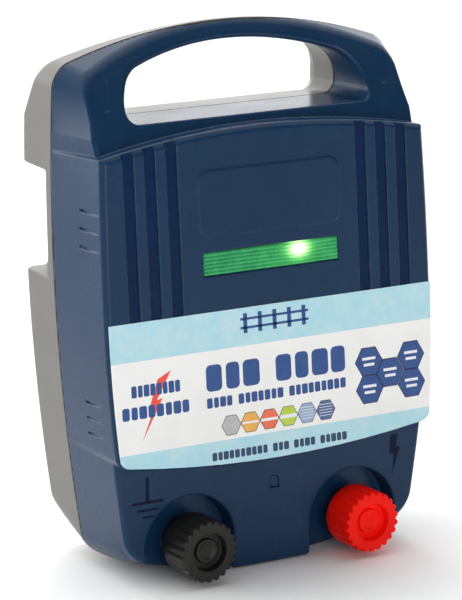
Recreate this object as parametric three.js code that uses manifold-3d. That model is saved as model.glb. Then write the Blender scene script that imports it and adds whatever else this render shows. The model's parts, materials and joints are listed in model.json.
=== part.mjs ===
// A portable electric-fence energiser: a two-piece moulded case with a carrying handle, two screw-down
// output terminals, a status window, and the electronics that the case holds.
// Millimetres. +Z is up, the front faces -Y, and the origin is on the flat foot under the middle of the case.

import * as THREE from 'three';
import { mergeVertices } from 'three/addons/utils/BufferGeometryUtils.js';
import Module from 'manifold-3d';

const wasm = await Module();
wasm.setup();

// ---------- driving dimensions ----------

const CLEARANCE = 0.3;            // gap between two pieces that touch
const WALL = 3;                   // moulded wall of the case

// The case's outline in front view, at the parting plane between the two shells.
const HALF_WIDTH = 104;           // widest half width
const WIDEST_Z = 210;             // height at which the case is widest
const SIDE_RADIUS = 1200;         // long bow of each side
const HEIGHT = 286;               // top of the handle
const TOP_RADIUS = 290;           // bow of the handle's top
const FOOT_HALF = 14;             // half width of the flat foot
const BOTTOM_RADIUS = 450;        // the bottom curves up from the foot to each corner
const BOTTOM_RADIUS_FRONT = 170;  // more so at the front face
const BOTTOM_RADIUS_BACK = 230;
const TOP_CORNER = 9;
const BOTTOM_CORNER = 11;

const PARTING_Y = 0.5;            // plane where the two shells meet
const PARTING_GAP = 0.25;         // half of the visible joint
const FRONT_EDGE_Y = PARTING_Y - PARTING_GAP;
const REAR_EDGE_Y = PARTING_Y + PARTING_GAP;

// The apron is the raised front panel that carries the label. It leans back and wraps onto the sides.
const APRON_FOOT_Z = 70;          // height at which APRON_FOOT_Y is measured
const APRON_FOOT_Y = -56.3;
const APRON_SLOPE = 0.0828;       // how far it leans back per millimetre of height
const APRON_LEAN = Math.atan(APRON_SLOPE);
const APRON_BOTTOM_Z = 58.9;
const APRON_TOP_Z = 236.4;
const APRON_TOP_RADIUS = 500;
const APRON_BOTTOM_RADIUS = 630;
const APRON_HALF = 100.2;         // half width at APRON_WIDEST_Z
const APRON_WIDEST_Z = 145;
const APRON_SIDE_RADIUS = { above: 1930, below: 875 };
const APRON_EDGE = 2.4;           // bevel round its front edge
const APRON_CORNER = 6;           // its two bottom corners, and the label's

// The lower face, under the apron, carries the terminals.
const LOWER_FACE_Y = -50.2;
const LOWER_TOP_Z = 72;
const LOWER_EDGE = 2;             // bevel round its front edge
const LOWER_CORNER = 8;

// The handle's front face stands upright up to the crease, then leans back.
const HANDLE_BOTTOM_Z = 222;
const CREASE_Z = 243.5;
const CREASE_Y = -31.6;
const HANDLE_STRIP_SLOPE = 0.28;
const HANDLE_SLOPE = 0.74;
const HANDLE_DEEP_Y = -38;        // plane in front of the whole handle, where its front outline is drawn
const HANDLE_SIDE_DRAFT = 0.2;    // the handle narrows this much per millimetre forward
const HANDLE_TOP_DRAFT = 0.34;
const HANDLE_TAPER = 0.0033;      // share of its width that the front outline loses per millimetre of height
const HANDLE_TAPER_Z = 235;
const HANDLE_FRONT_CORNER = 5;

// The rear shell.
const BACK_Y = 40;
const BACK_DRAFT = 0.08;
const BACK_CORNER = 6;
const BACK_HANDLE_SLOPE = 0.62;   // the back of the handle leans forward above the main block
const BACK_HANDLE_Z = 240;
const BACK_HANDLE_DRAFT = 0.06;
const HEEL_SLOPE = 0.25;          // the bottom of the rear shell rises towards the back

// Hand window through the handle.
const WINDOW_FLOOR_Z = 240.4;
const WINDOW_HALF = 69.3;
const WINDOW_TOP_Z = 276;
const WINDOW_TOP_RADIUS = 190;
const WINDOW_CORNER = 12;

// Notch in each side of the rear shell, where a lead is wound.
const NOTCH = { inner: 85.8, front: 8, bottom: 156.2, top: 213.7 };
const NOTCH_SLOT = { inner: 88, outer: 98, front: 9.5, depth: 5, width: 4 };

// Terminals.
const TERMINAL_X = 50.7;
const TERMINAL_Z = 19.3;
const BAY_BACK_Y = -37.8;
const BAY_HALF = 27;
const BAY_TOP_Z = 45;
const STUD_RADIUS = 4;            // M8
const COLLAR_FACE_Y = -43.8;
const WASHER_BACK_Y = -46;
const KNOB_BACK_Y = -47.5;
const KNOB_FRONT_Y = -69.9;
const KNOB_RADIUS = 16.6;
const KNOB_RIBS = 22;
const STUD_TIP_Y = -57.5;

// Status window in the apron, and the label below it.
const LENS = { half: 41, bottom: 161.2, top: 173, sill: 1.4 };
const LABEL_TOP_Z = 142.2;
const LABEL_THICK = 0.4;
const LABEL_RECESS = 0.55;

// Case screws, entered from the back: x, z of the right-hand three.
const CASE_SCREWS = [[72, 27], [82, 112], [82, 225]];
const SCREW_SEAT_Y = 14;
const SCREW_LENGTH = 30;
const SCREW = { shank: 1.9, head: 3.8, pilot: 2.2, hole: 2.4, well: 4.3, frontBoss: 4.6, rearBoss: 6 };

// Seal between the shells, and the groove that holds it: insets from the case's outline.
const SEAL = { outer: 1.8, inner: 3.2, half: 1.5 };
const SEAL_GROOVE = { outer: 1.5, inner: 3.9, half: 1.8 };

const KEYHOLE = { x: 52, z: 118, head: 4.6, slot: 2.3, rise: 9, pocket: 7, lip: 3, surround: 8 };
const INLET = { x: 0, z: 78, hole: 6, boss: 13, bossDepth: 8, pocket: 3, pocketRadius: 10 };

// The printed circuit board across the middle of the case.
const BOARD = { half: 68, bottom: 72, top: 150, front: 8, back: 9.6, hole: 1.9 };
const BOARD_HOLES = [[-62, 78], [62, 78], [-62, 144], [62, 144]];

const FAR = 150;                  // past the case on every side, for cutting tools

// ---------- helpers ----------

function toSolid(geometry) {
  const plain = geometry.index ? geometry.toNonIndexed() : geometry.clone();
  plain.deleteAttribute('normal');
  plain.deleteAttribute('uv');
  const merged = mergeVertices(plain, 1e-4);
  return new wasm.Manifold(new wasm.Mesh({
    numProp: 3,
    vertProperties: new Float32Array(merged.attributes.position.array),
    triVerts: new Uint32Array(merged.index.array),
  }));
}

function toGeometry(solid) {
  const { vertProperties, triVerts, numProp } = solid.getMesh();
  const positions = new Float32Array((vertProperties.length / numProp) * 3);
  for (let i = 0; i < positions.length / 3; i += 1) {
    positions.set(vertProperties.subarray(i * numProp, i * numProp + 3), i * 3);
  }
  const geometry = new THREE.BufferGeometry();
  geometry.setAttribute('position', new THREE.BufferAttribute(positions, 3));
  geometry.setIndex(new THREE.BufferAttribute(new Uint32Array(triVerts), 1));
  geometry.computeVertexNormals();
  return geometry;
}

// A slab across the whole width of the case.
function slab(y0, y1, z0, z1) {
  return toSolid(box(-FAR, FAR, y0, y1, z0, z1));
}

// Calls make(1) and make(-1), for things that come in mirrored pairs.
function bothSides(make) {
  return [-1, 1].flatMap(make);
}

function joined(solids) {
  return solids.reduce((sum, solid) => sum.add(solid));
}

function without(solid, tools) {
  return tools.reduce((rest, tool) => rest.subtract(tool), solid);
}

function box(x0, x1, y0, y1, z0, z1) {
  const geometry = new THREE.BoxGeometry(x1 - x0, y1 - y0, z1 - z0);
  geometry.translate((x0 + x1) / 2, (y0 + y1) / 2, (z0 + z1) / 2);
  return geometry;
}

// A cylinder whose axis runs along Y, from y0 (front) to y1 (back).
function barrel(x, z, radius, y0, y1, segments = 20) {
  const geometry = new THREE.CylinderGeometry(radius, radius, y1 - y0, segments);
  geometry.translate(x, (y0 + y1) / 2, z);
  return geometry;
}

// A solid of revolution about an axis along Y through (x, z). The profile lists [radius, y] pairs.
function turned(x, z, profile, segments = 24) {
  const points = profile.map(([radius, y]) => new THREE.Vector2(radius, y));
  const geometry = new THREE.LatheGeometry(points, segments);
  geometry.translate(x, 0, z);
  return geometry;
}

// An outline in the XZ plane pushed from y0 (front) to y1 (back).
function plateXZ(outline, y0, y1, curveSegments = 8) {
  const shape = outline instanceof THREE.Shape ? outline : new THREE.Shape(outline);
  const geometry = new THREE.ExtrudeGeometry(shape, {
    depth: y1 - y0,
    bevelEnabled: false,
    curveSegments,
  });
  geometry.rotateX(Math.PI / 2);
  geometry.translate(0, y1, 0);
  return geometry;
}

// An outline of [y, z] pairs pushed from x0 to x1.
function plateYZ(pairs, x0, x1) {
  const shape = new THREE.Shape(pairs.map(([y, z]) => new THREE.Vector2(y, z)));
  const geometry = new THREE.ExtrudeGeometry(shape, { depth: x1 - x0, bevelEnabled: false });
  const turn = new THREE.Matrix4().makeBasis(
    new THREE.Vector3(0, 1, 0), new THREE.Vector3(0, 0, 1), new THREE.Vector3(1, 0, 0));
  geometry.applyMatrix4(turn);
  geometry.translate(x0, 0, 0);
  return geometry;
}

// A closed skin over rings of equally many points, capped at both ends.
function loft(rings) {
  const count = rings[0].length;
  const positions = rings.flat().flatMap((p) => [p.x, p.y, p.z]);
  const faces = [];
  for (let ring = 0; ring + 1 < rings.length; ring += 1) {
    for (let i = 0; i < count; i += 1) {
      const a = ring * count + i;
      const b = ring * count + ((i + 1) % count);
      faces.push(a, b, a + count, b, b + count, a + count);
    }
  }
  const flat = (ring) => ring.map((p) => new THREE.Vector2(p.x, p.z));
  const last = (rings.length - 1) * count;
  for (const [a, b, c] of THREE.ShapeUtils.triangulateShape(flat(rings[0]), [])) {
    faces.push(a, c, b);
  }
  for (const [a, b, c] of THREE.ShapeUtils.triangulateShape(flat(rings.at(-1)), [])) {
    faces.push(last + a, last + b, last + c);
  }
  const geometry = new THREE.BufferGeometry();
  geometry.setAttribute('position', new THREE.Float32BufferAttribute(positions, 3));
  geometry.setIndex(faces);
  return geometry;
}

// Rings run from back to front, and their points run anticlockwise as seen from the front.
function ringAt(points, y) {
  return points.map(({ x, y: z }) => new THREE.Vector3(x, typeof y === 'function' ? y(z) : y, z));
}

function arcPoints(centre, radius, from, to, steps) {
  return Array.from({ length: steps }, (_, i) => {
    const angle = from + ((to - from) * i) / steps;
    return new THREE.Vector2(centre.x + radius * Math.cos(angle), centre.y + radius * Math.sin(angle));
  });
}

// Centre of a fillet that touches two circles from inside: the upper or lower crossing of the shrunken circles.
function filletCentre(a, radiusA, b, radiusB, upper) {
  const gap = b.clone().sub(a);
  const distance = gap.length();
  const along = (distance ** 2 + radiusA ** 2 - radiusB ** 2) / (2 * distance);
  const across = Math.sqrt(radiusA ** 2 - along ** 2);
  const unit = gap.clone().divideScalar(distance);
  const foot = a.clone().addScaledVector(unit, along);
  const sides = [1, -1].map((sign) => new THREE.Vector2(
    foot.x - sign * unit.y * across, foot.y + sign * unit.x * across));
  return (sides[0].y > sides[1].y) === upper ? sides[0] : sides[1];
}

function angleFrom(centre, point) {
  return Math.atan2(point.y - centre.y, point.x - centre.x);
}

function mirrored(right) {
  const left = right.filter((p) => p.x > 1e-6).map((p) => new THREE.Vector2(-p.x, p.y)).reverse();
  return [...right, ...left];
}

// ---------- outlines ----------

// The case's front-view outline, shrunk by separate amounts at its sides, top and bottom.
function caseOutline({
  side = 0,
  top = 0,
  bottom = 0,
  topCorner = TOP_CORNER,
  bottomCorner = BOTTOM_CORNER,
  bottomRadius = BOTTOM_RADIUS,
}) {
  const sideCentre = new THREE.Vector2(HALF_WIDTH - SIDE_RADIUS, WIDEST_Z);
  const topCentre = new THREE.Vector2(0, HEIGHT - TOP_RADIUS);
  const bottomCentre = new THREE.Vector2(FOOT_HALF, bottomRadius);
  const sideR = SIDE_RADIUS - side;
  const topR = TOP_RADIUS - top;
  const bottomR = bottomRadius - bottom;
  const low = filletCentre(bottomCentre, bottomR - bottomCorner, sideCentre, sideR - bottomCorner, false);
  const high = filletCentre(topCentre, topR - topCorner, sideCentre, sideR - topCorner, true);
  const lowStart = angleFrom(bottomCentre, low);
  const lowEnd = angleFrom(sideCentre, low);
  const highStart = angleFrom(sideCentre, high);
  const highEnd = angleFrom(topCentre, high);
  return mirrored([
    ...arcPoints(bottomCentre, bottomR, -Math.PI / 2, lowStart, 5),
    ...arcPoints(low, bottomCorner, lowStart, lowEnd, 5),
    ...arcPoints(sideCentre, sideR, lowEnd, highStart, 9),
    ...arcPoints(high, topCorner, highStart, highEnd, 6),
    ...arcPoints(topCentre, topR, highEnd, Math.PI / 2, 7),
    new THREE.Vector2(0, topCentre.y + topR),
  ]);
}

function caseHalfWidth(z) {
  return HALF_WIDTH - (z - WIDEST_Z) ** 2 / (2 * SIDE_RADIUS);
}

function apronHalfWidth(z) {
  const radius = z > APRON_WIDEST_Z ? APRON_SIDE_RADIUS.above : APRON_SIDE_RADIUS.below;
  return APRON_HALF - (z - APRON_WIDEST_Z) ** 2 / (2 * radius);
}

function apronY(z) {
  return APRON_FOOT_Y + APRON_SLOPE * (z - APRON_FOOT_Z);
}

// The apron's outline, shrunk by inset. bow draws its sides toward the case's own side line (0 to 1).
function apronOutline(inset, bow) {
  const bottom = (x) => APRON_BOTTOM_Z + inset + x ** 2 / (2 * APRON_BOTTOM_RADIUS);
  const top = (x) => APRON_TOP_Z - inset - x ** 2 / (2 * APRON_TOP_RADIUS);
  const half = (z) => apronHalfWidth(z) * (1 - bow) + caseHalfWidth(z) * bow - inset;
  const corner = APRON_CORNER - inset;
  const lowZ = bottom(92);
  const highZ = top(97);
  const points = [];
  for (let i = 0; i < 5; i += 1) {
    const x = (i * (half(lowZ) - corner)) / 5;
    points.push(new THREE.Vector2(x, bottom(x)));
  }
  const centre = new THREE.Vector2(half(lowZ + corner) - corner, bottom(half(lowZ) - corner) + corner);
  points.push(...arcPoints(centre, corner, -Math.PI / 2, 0, 4));
  for (let i = 0; i <= 8; i += 1) {
    const z = lowZ + corner + 1 + (i * (highZ - lowZ - corner - 1)) / 8;
    points.push(new THREE.Vector2(half(z), z));
  }
  for (let i = 1; i <= 6; i += 1) {
    const x = (half(highZ) * (6 - i)) / 6;
    points.push(new THREE.Vector2(x, top(x)));
  }
  return mirrored(points);
}

// The hand window: a flat floor, an arched top and round corners. grow moves every edge outward.
function windowOutline(grow, wider = 0) {
  const half = WINDOW_HALF + grow + wider;
  const floor = WINDOW_FLOOR_Z - grow;
  const corner = WINDOW_CORNER + grow * 0.5;
  const topCentre = new THREE.Vector2(0, WINDOW_TOP_Z - WINDOW_TOP_RADIUS);
  const topR = WINDOW_TOP_RADIUS + grow;
  const highX = half - corner;
  const high = new THREE.Vector2(highX, topCentre.y + Math.sqrt((topR - corner) ** 2 - highX ** 2));
  const low = new THREE.Vector2(half - corner * 0.6, floor + corner * 0.6);
  return mirrored([
    new THREE.Vector2(0, floor),
    ...arcPoints(low, corner * 0.6, -Math.PI / 2, 0, 4),
    ...arcPoints(high, corner, 0, angleFrom(topCentre, high), 6),
    ...arcPoints(topCentre, topR, angleFrom(topCentre, high), Math.PI / 2, 6),
    new THREE.Vector2(0, topCentre.y + topR),
  ]);
}

// A terminal bay: an arch, open at the bottom.
function bayOutline(x, grow) {
  const half = BAY_HALF + grow;
  const shape = new THREE.Shape();
  shape.moveTo(x - half, -20);
  shape.lineTo(x + half, -20);
  shape.lineTo(x + half, BAY_TOP_Z - BAY_HALF);
  shape.absarc(x, BAY_TOP_Z - BAY_HALF, half, 0, Math.PI, false);
  shape.closePath();
  return shape;
}

// ---------- front shell ----------

// Everything in front of the handle's face, moved back by depth.
function aheadOfHandle(depth) {
  const far = -120;
  const foot = CREASE_Y - HANDLE_STRIP_SLOPE * (CREASE_Z - 200) + depth;
  const head = CREASE_Y + HANDLE_SLOPE * (320 - CREASE_Z) + depth;
  return toSolid(plateYZ([
    [far, 200],
    [foot, 200],
    [CREASE_Y + depth, CREASE_Z],
    [head, 320],
    [far, 320],
  ], -FAR, FAR));
}

function frontHandleBlock(inset, depth, floorZ) {
  const reach = PARTING_Y - HANDLE_DEEP_Y;
  const back = caseOutline({ side: inset, top: inset, topCorner: TOP_CORNER - inset });
  const front = caseOutline({
    side: inset + HANDLE_SIDE_DRAFT * reach,
    top: inset + HANDLE_TOP_DRAFT * reach,
    topCorner: HANDLE_FRONT_CORNER - inset / 2,
  }).map(({ x, y: z }) => new THREE.Vector2(x * (1 - HANDLE_TAPER * Math.max(z - HANDLE_TAPER_Z, 0)), z));
  const block = toSolid(loft([ringAt(back, FRONT_EDGE_Y), ringAt(front, HANDLE_DEEP_Y)]));
  return block.intersect(slab(-60, 20, floorZ, 310)).subtract(aheadOfHandle(depth));
}

function frontWindowTunnel(grow) {
  return toSolid(loft([
    ringAt(windowOutline(grow), PARTING_Y + 1),
    ringAt(windowOutline(grow, 3.6), -20),
    ringAt(windowOutline(grow, 8.8), -42),
  ]));
}

function lowerBlock() {
  const bottomRadius = BOTTOM_RADIUS_FRONT;
  return toSolid(loft([
    ringAt(caseOutline({}), FRONT_EDGE_Y),
    ringAt(caseOutline({ top: 4, bottomRadius: bottomRadius + 20 }), LOWER_FACE_Y + 7),
    ringAt(caseOutline({
      top: 6,
      bottom: 0.6,
      bottomCorner: LOWER_CORNER,
      bottomRadius,
    }), LOWER_FACE_Y + LOWER_EDGE),
    ringAt(caseOutline({
      side: LOWER_EDGE,
      top: 8,
      bottom: LOWER_EDGE,
      bottomCorner: LOWER_CORNER - LOWER_EDGE / 2,
      bottomRadius,
    }), LOWER_FACE_Y),
  ])).intersect(slab(-80, 20, -5, LOWER_TOP_Z));
}

function apronBlock() {
  return toSolid(loft([
    ringAt(apronOutline(0, 1), FRONT_EDGE_Y),
    ringAt(apronOutline(0, 0), (z) => apronY(z) + APRON_EDGE),
    ringAt(apronOutline(APRON_EDGE, 0), apronY),
  ]));
}

// Inside of the front shell: behind the lower face, behind the apron, and behind the handle's strip.
function frontCavity() {
  const mouth = FRONT_EDGE_Y + 1;
  const lowerDeep = caseOutline({
    side: 2 * WALL,
    top: 3 * WALL,
    bottom: WALL + 1,
    bottomCorner: 8,
    bottomRadius: BOTTOM_RADIUS_FRONT,
  });
  const lower = toSolid(loft([
    ringAt(caseOutline({ side: WALL, top: 3 * WALL, bottom: WALL, bottomCorner: 8 }), mouth),
    ringAt(lowerDeep, LOWER_FACE_Y + WALL),
  ])).intersect(slab(-80, 20, -5, LOWER_TOP_Z));

  const [middleBottom, middleTop] = [71, 222];
  const middleShape = (bow, inset) => {
    const side = [72, 110, 150, 190, middleTop].map((z) => new THREE.Vector2(
      apronHalfWidth(z) * (1 - bow) + caseHalfWidth(z) * bow - inset, z));
    return mirrored([new THREE.Vector2(0, middleBottom), ...side, new THREE.Vector2(0, middleTop)]);
  };
  const middle = toSolid(loft([
    ringAt(middleShape(1, WALL), mouth),
    ringAt(middleShape(0, WALL + 2), (z) => apronY(z) + WALL),
  ]));

  const [upperBottom, upperTop] = [215, WINDOW_FLOOR_Z - WALL - 0.2];
  const upperShape = (half) => [[-half, upperBottom], [half, upperBottom], [half, upperTop], [-half, upperTop]]
    .map(([x, z]) => new THREE.Vector2(x, z));
  const upper = toSolid(loft([ringAt(upperShape(100), mouth), ringAt(upperShape(88), CREASE_Y + WALL - 0.4)]));
  return joined([lower, middle, upper]);
}

// A piece of geometry drawn flat (x across, z up, front face at y = 0), laid on the leaning apron at height z.
function onApron(geometry, z) {
  geometry.rotateX(-APRON_LEAN);
  geometry.translate(0, apronY(z), z);
  return geometry;
}

// Rounded rectangle centred on (x, z).
function roundedPlate(x, z, halfX, halfZ, corner) {
  const shape = new THREE.Shape();
  shape.moveTo(x - halfX + corner, z - halfZ);
  shape.lineTo(x + halfX - corner, z - halfZ);
  shape.absarc(x + halfX - corner, z - halfZ + corner, corner, -Math.PI / 2, 0, false);
  shape.lineTo(x + halfX, z + halfZ - corner);
  shape.absarc(x + halfX - corner, z + halfZ - corner, corner, 0, Math.PI / 2, false);
  shape.lineTo(x - halfX + corner, z + halfZ);
  shape.absarc(x - halfX + corner, z + halfZ - corner, corner, Math.PI / 2, Math.PI, false);
  shape.lineTo(x - halfX, z - halfZ + corner);
  shape.absarc(x - halfX + corner, z - halfZ + corner, corner, Math.PI, 1.5 * Math.PI, false);
  return shape;
}

const GROOVE_CENTRES = [57.7, 70.5, 83.2];
const GROOVE_WIDTH = 6;
const GROOVE_DEPTH = 1.3;

function apronGrooves() {
  return bothSides((side) => GROOVE_CENTRES.map((x) => toSolid(onApron(box(
    side * x - GROOVE_WIDTH / 2, side * x + GROOVE_WIDTH / 2, -5, GROOVE_DEPTH, 0, 110), LABEL_TOP_Z))));
}

const PLAQUE = { halfX: 43, halfZ: 17.5, corner: 6, proud: 0.7, z: 198.3 };

// Blank raised panel between the grooves.
function plaque() {
  const outline = roundedPlate(0, 0, PLAQUE.halfX, PLAQUE.halfZ, PLAQUE.corner);
  return toSolid(onApron(plateXZ(outline, -PLAQUE.proud, 1, 4), PLAQUE.z));
}

// The label's outline in the apron's own plane: heights are measured from the label's top edge.
function labelOutline(grow) {
  const lean = Math.cos(APRON_LEAN);
  const half = (z) => apronHalfWidth(z) - APRON_EDGE / 2 + grow;
  const edge = APRON_BOTTOM_Z + 1.6;
  const bottom = (x) => (edge + x ** 2 / (2 * APRON_BOTTOM_RADIUS) - LABEL_TOP_Z) / lean - grow;
  const points = [];
  const lowHalf = half(APRON_FOOT_Z + 4);
  for (let i = 0; i < 5; i += 1) {
    const x = (i * (lowHalf - APRON_CORNER)) / 5;
    points.push(new THREE.Vector2(x, bottom(x)));
  }
  const centre = new THREE.Vector2(lowHalf - APRON_CORNER, bottom(lowHalf - APRON_CORNER) + APRON_CORNER);
  points.push(...arcPoints(centre, APRON_CORNER, -Math.PI / 2, 0, 4));
  for (let i = 0; i <= 4; i += 1) {
    const z = APRON_FOOT_Z + 6 + (i * (LABEL_TOP_Z - APRON_FOOT_Z - 6)) / 4;
    points.push(new THREE.Vector2(half(z), (z - LABEL_TOP_Z) / lean + (i === 4 ? grow : 0)));
  }
  points.push(new THREE.Vector2(0, grow));
  return mirrored(points);
}

const SLIT_ROWS = [198, 188.5, 179, 96.5, 88, 79.5];
const SLIT = { rear: -25, front: -43, depth: 1, height: 1.3 };

// Shallow slits in each side, deep at the rear end and running out towards the front.
function sideSlits() {
  return bothSides((side) => SLIT_ROWS.map((z) => {
    const surface = (y) => THREE.MathUtils.mapLinear(
      y, FRONT_EDGE_Y, apronY(z) + APRON_EDGE, caseHalfWidth(z), apronHalfWidth(z));
    const outline = [
      [side * (surface(SLIT.rear) - SLIT.depth), SLIT.rear],
      [side * (surface(SLIT.rear) + 5), SLIT.rear],
      [side * (surface(SLIT.front) + 5), SLIT.front],
      [side * surface(SLIT.front), SLIT.front],
    ].map(([x, y]) => new THREE.Vector2(x, y));
    const settings = { depth: SLIT.height, bevelEnabled: false };
    const geometry = new THREE.ExtrudeGeometry(new THREE.Shape(outline), settings);
    geometry.translate(0, 0, z);
    return toSolid(geometry);
  }));
}

// Terminal marks cut into the lower face: an earth sign on the left, a flash on the right.
function terminalMarks() {
  const depth = 0.7;
  const y0 = LOWER_FACE_Y - 2;
  const y1 = LOWER_FACE_Y + depth;
  const earth = [
    [-79.4, -78, 40.5, 53],
    [-84.9, -72.4, 39.2, 40.7],
    [-82.6, -74.8, 35.9, 37.1],
    [-80.5, -76.9, 32.6, 33.8],
  ].map(([x0, x1, z0, z1]) => box(x0, x1, y0, y1, z0, z1));
  const flash = [[74.5, 60], [79.5, 60], [78.2, 52.5], [81, 52.5], [76.2, 38.5], [77, 49], [74.2, 49]]
    .map(([x, z]) => new THREE.Vector2(x, z));
  return [...earth, plateXZ(flash, y0, y1)].map(toSolid);
}

const PAD = { radius: 11, proud: 4.2 };

// Round posts at the case screws, from y0 to y1.
function atScrews(radius, y0, y1, segments = 12) {
  return bothSides((side) => CASE_SCREWS.map(
    ([x, z]) => toSolid(barrel(side * x, z, radius, y0, y1, segments))));
}

// A terminal bay on each side, grown outward and ending at backY.
function bays(grow, backY) {
  return bothSides((side) => toSolid(plateXZ(bayOutline(side * TERMINAL_X, grow), -80, backY, 14)));
}

function atTerminals(radius, y0, y1) {
  return bothSides((side) => toSolid(barrel(side * TERMINAL_X, TERMINAL_Z, radius, y0, y1, 24)));
}

function frontShell() {
  const outer = joined([lowerBlock(), apronBlock(), frontHandleBlock(0, 0, HANDLE_BOTTOM_Z), plaque()]);
  const bayWall = WALL - 0.5;
  const cavity = without(frontCavity(), [
    ...atScrews(SCREW.frontBoss, -70, 10),
    ...bays(bayWall, BAY_BACK_Y + bayWall),
  ]);
  const handleCavity = frontHandleBlock(WALL + 0.4, WALL + 1.2, WINDOW_FLOOR_Z)
    .subtract(frontWindowTunnel(WALL))
    .intersect(slab(-26, 20, WINDOW_FLOOR_Z, 300));
  const shell = without(outer, [cavity, handleCavity, ...bays(0, BAY_BACK_Y)]);
  const padded = joined([shell, ...atTerminals(PAD.radius, BAY_BACK_Y - PAD.proud, BAY_BACK_Y + 1)]);

  const groove = toSolid(sealRing(SEAL_GROOVE, PARTING_Y - SEAL_GROOVE.half, PARTING_Y + 3));
  const lensSlot = toSolid(onApron(box(-LENS.half - CLEARANCE, LENS.half + CLEARANCE, -5, 12,
    LENS.bottom - LENS.top - 2 * CLEARANCE, 0), LENS.top + CLEARANCE));
  const labelSeat = toSolid(onApron(plateXZ(labelOutline(CLEARANCE), -3, LABEL_RECESS), LABEL_TOP_Z));
  return without(padded, [
    frontWindowTunnel(0),
    groove,
    lensSlot,
    labelSeat,
    ...atTerminals(STUD_RADIUS + CLEARANCE, -50, -20),
    ...atScrews(SCREW.pilot, SCREW_SEAT_Y - SCREW_LENGTH - 1, 10),
    ...apronGrooves(),
    ...sideSlits(),
    ...terminalMarks(),
  ]);
}

// ---------- rear shell ----------

// The rear shell's outer shape, or with an inset the space inside its wall.
function rearBlock(inset) {
  const ring = (y, extra) => ringAt(caseOutline({
    side: inset + BACK_DRAFT * (y - PARTING_Y) + extra,
    top: inset + BACK_HANDLE_DRAFT * (y - PARTING_Y) + extra,
    bottom: inset + HEEL_SLOPE * (y - PARTING_Y) + extra / 2,
    topCorner: TOP_CORNER - inset,
    bottomCorner: BOTTOM_CORNER - inset / 2,
    bottomRadius: THREE.MathUtils.mapLinear(
      y, PARTING_Y, BACK_Y, BOTTOM_RADIUS, BOTTOM_RADIUS_BACK),
  }), y);
  const back = BACK_Y - inset;
  const start = inset > 0 ? REAR_EDGE_Y - 1 : REAR_EDGE_Y;
  const block = toSolid(loft([
    ring(back, BACK_CORNER),
    ring(back - BACK_CORNER * 0.3, BACK_CORNER * 0.3),
    ring(back - BACK_CORNER, 0),
    ring(start, 0),
  ]));
  const lean = plateYZ([
    [back, BACK_HANDLE_Z],
    [back + 60, BACK_HANDLE_Z],
    [back + 60, 330],
    [back - BACK_HANDLE_SLOPE * (330 - BACK_HANDLE_Z), 330],
  ], -FAR, FAR);
  return block.subtract(toSolid(lean));
}

function rearWindowTunnel(grow) {
  return toSolid(loft([
    ringAt(windowOutline(grow + 14), BACK_Y + 4),
    ringAt(windowOutline(grow + 7), BACK_Y - 3),
    ringAt(windowOutline(grow + 3), BACK_Y - 9),
    ringAt(windowOutline(grow + 1), BACK_Y - 18),
    ringAt(windowOutline(grow), PARTING_Y - 1),
  ]));
}

// A box between x0 and x1 on the right, or its mirror image on the left.
function sidedBox(side, x0, x1, ...rest) {
  const [low, high] = [side * x0, side * x1].sort((a, b) => a - b);
  return toSolid(box(low, high, ...rest));
}

function notches(grow) {
  return bothSides((side) => sidedBox(side, NOTCH.inner - grow, FAR,
    NOTCH.front - grow, BACK_Y + 20, NOTCH.bottom - grow, NOTCH.top + grow));
}

// Each keyhole is a round hole for a screw's head, a slot above it, and a pocket behind the slot.
function keyholes() {
  return bothSides((side) => {
    const { z, head, slot, rise, pocket, lip } = KEYHOLE;
    const x = side * KEYHOLE.x;
    return [
      barrel(x, z, head, BACK_Y - pocket, BACK_Y + 5, 16),
      box(x - slot, x + slot, BACK_Y - lip - 1, BACK_Y + 5, z, z + rise),
      box(x - head, x + head, BACK_Y - pocket, BACK_Y - lip, z, z + rise + slot),
    ].map(toSolid);
  });
}

function rearShell() {
  const outer = without(rearBlock(0), notches(0));
  const keyholeBlocks = bothSides((side) => sidedBox(side,
    KEYHOLE.x - KEYHOLE.surround, KEYHOLE.x + KEYHOLE.surround, BACK_Y - KEYHOLE.pocket - 2, 60,
    KEYHOLE.z - KEYHOLE.surround, KEYHOLE.z + 2 * KEYHOLE.surround - 1));
  const inletBoss = toSolid(barrel(INLET.x, INLET.z, INLET.boss, BACK_Y - INLET.bossDepth, 60, 20));
  const ceiling = slab(-20, 60, WINDOW_FLOOR_Z - WALL - 0.2, WINDOW_FLOOR_Z - 0.2);
  const hollow = without(rearBlock(WALL), [
    ...notches(WALL - 0.4),
    ...atScrews(SCREW.rearBoss, -10, 60, 14),
    ...keyholeBlocks,
    inletBoss,
    ceiling,
    rearWindowTunnel(WALL),
  ]);
  const drains = bothSides((side) => sidedBox(side, NOTCH_SLOT.inner, NOTCH_SLOT.outer,
    NOTCH_SLOT.front, NOTCH_SLOT.front + NOTCH_SLOT.width, NOTCH.bottom - NOTCH_SLOT.depth, NOTCH.bottom + 5));
  return without(outer, [
    hollow,
    rearWindowTunnel(0),
    toSolid(sealRing(SEAL_GROOVE, PARTING_Y - 3, PARTING_Y + SEAL_GROOVE.half)),
    toSolid(barrel(INLET.x, INLET.z, INLET.hole + CLEARANCE, 20, 60, 20)),
    toSolid(barrel(INLET.x, INLET.z, INLET.pocketRadius, BACK_Y - INLET.pocket, 60, 24)),
    ...atScrews(SCREW.well, SCREW_SEAT_Y, 60, 14),
    ...atScrews(SCREW.hole, -10, 20),
    ...drains,
    ...keyholes(),
  ]);
}

// ---------- seal, label, window ----------

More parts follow.
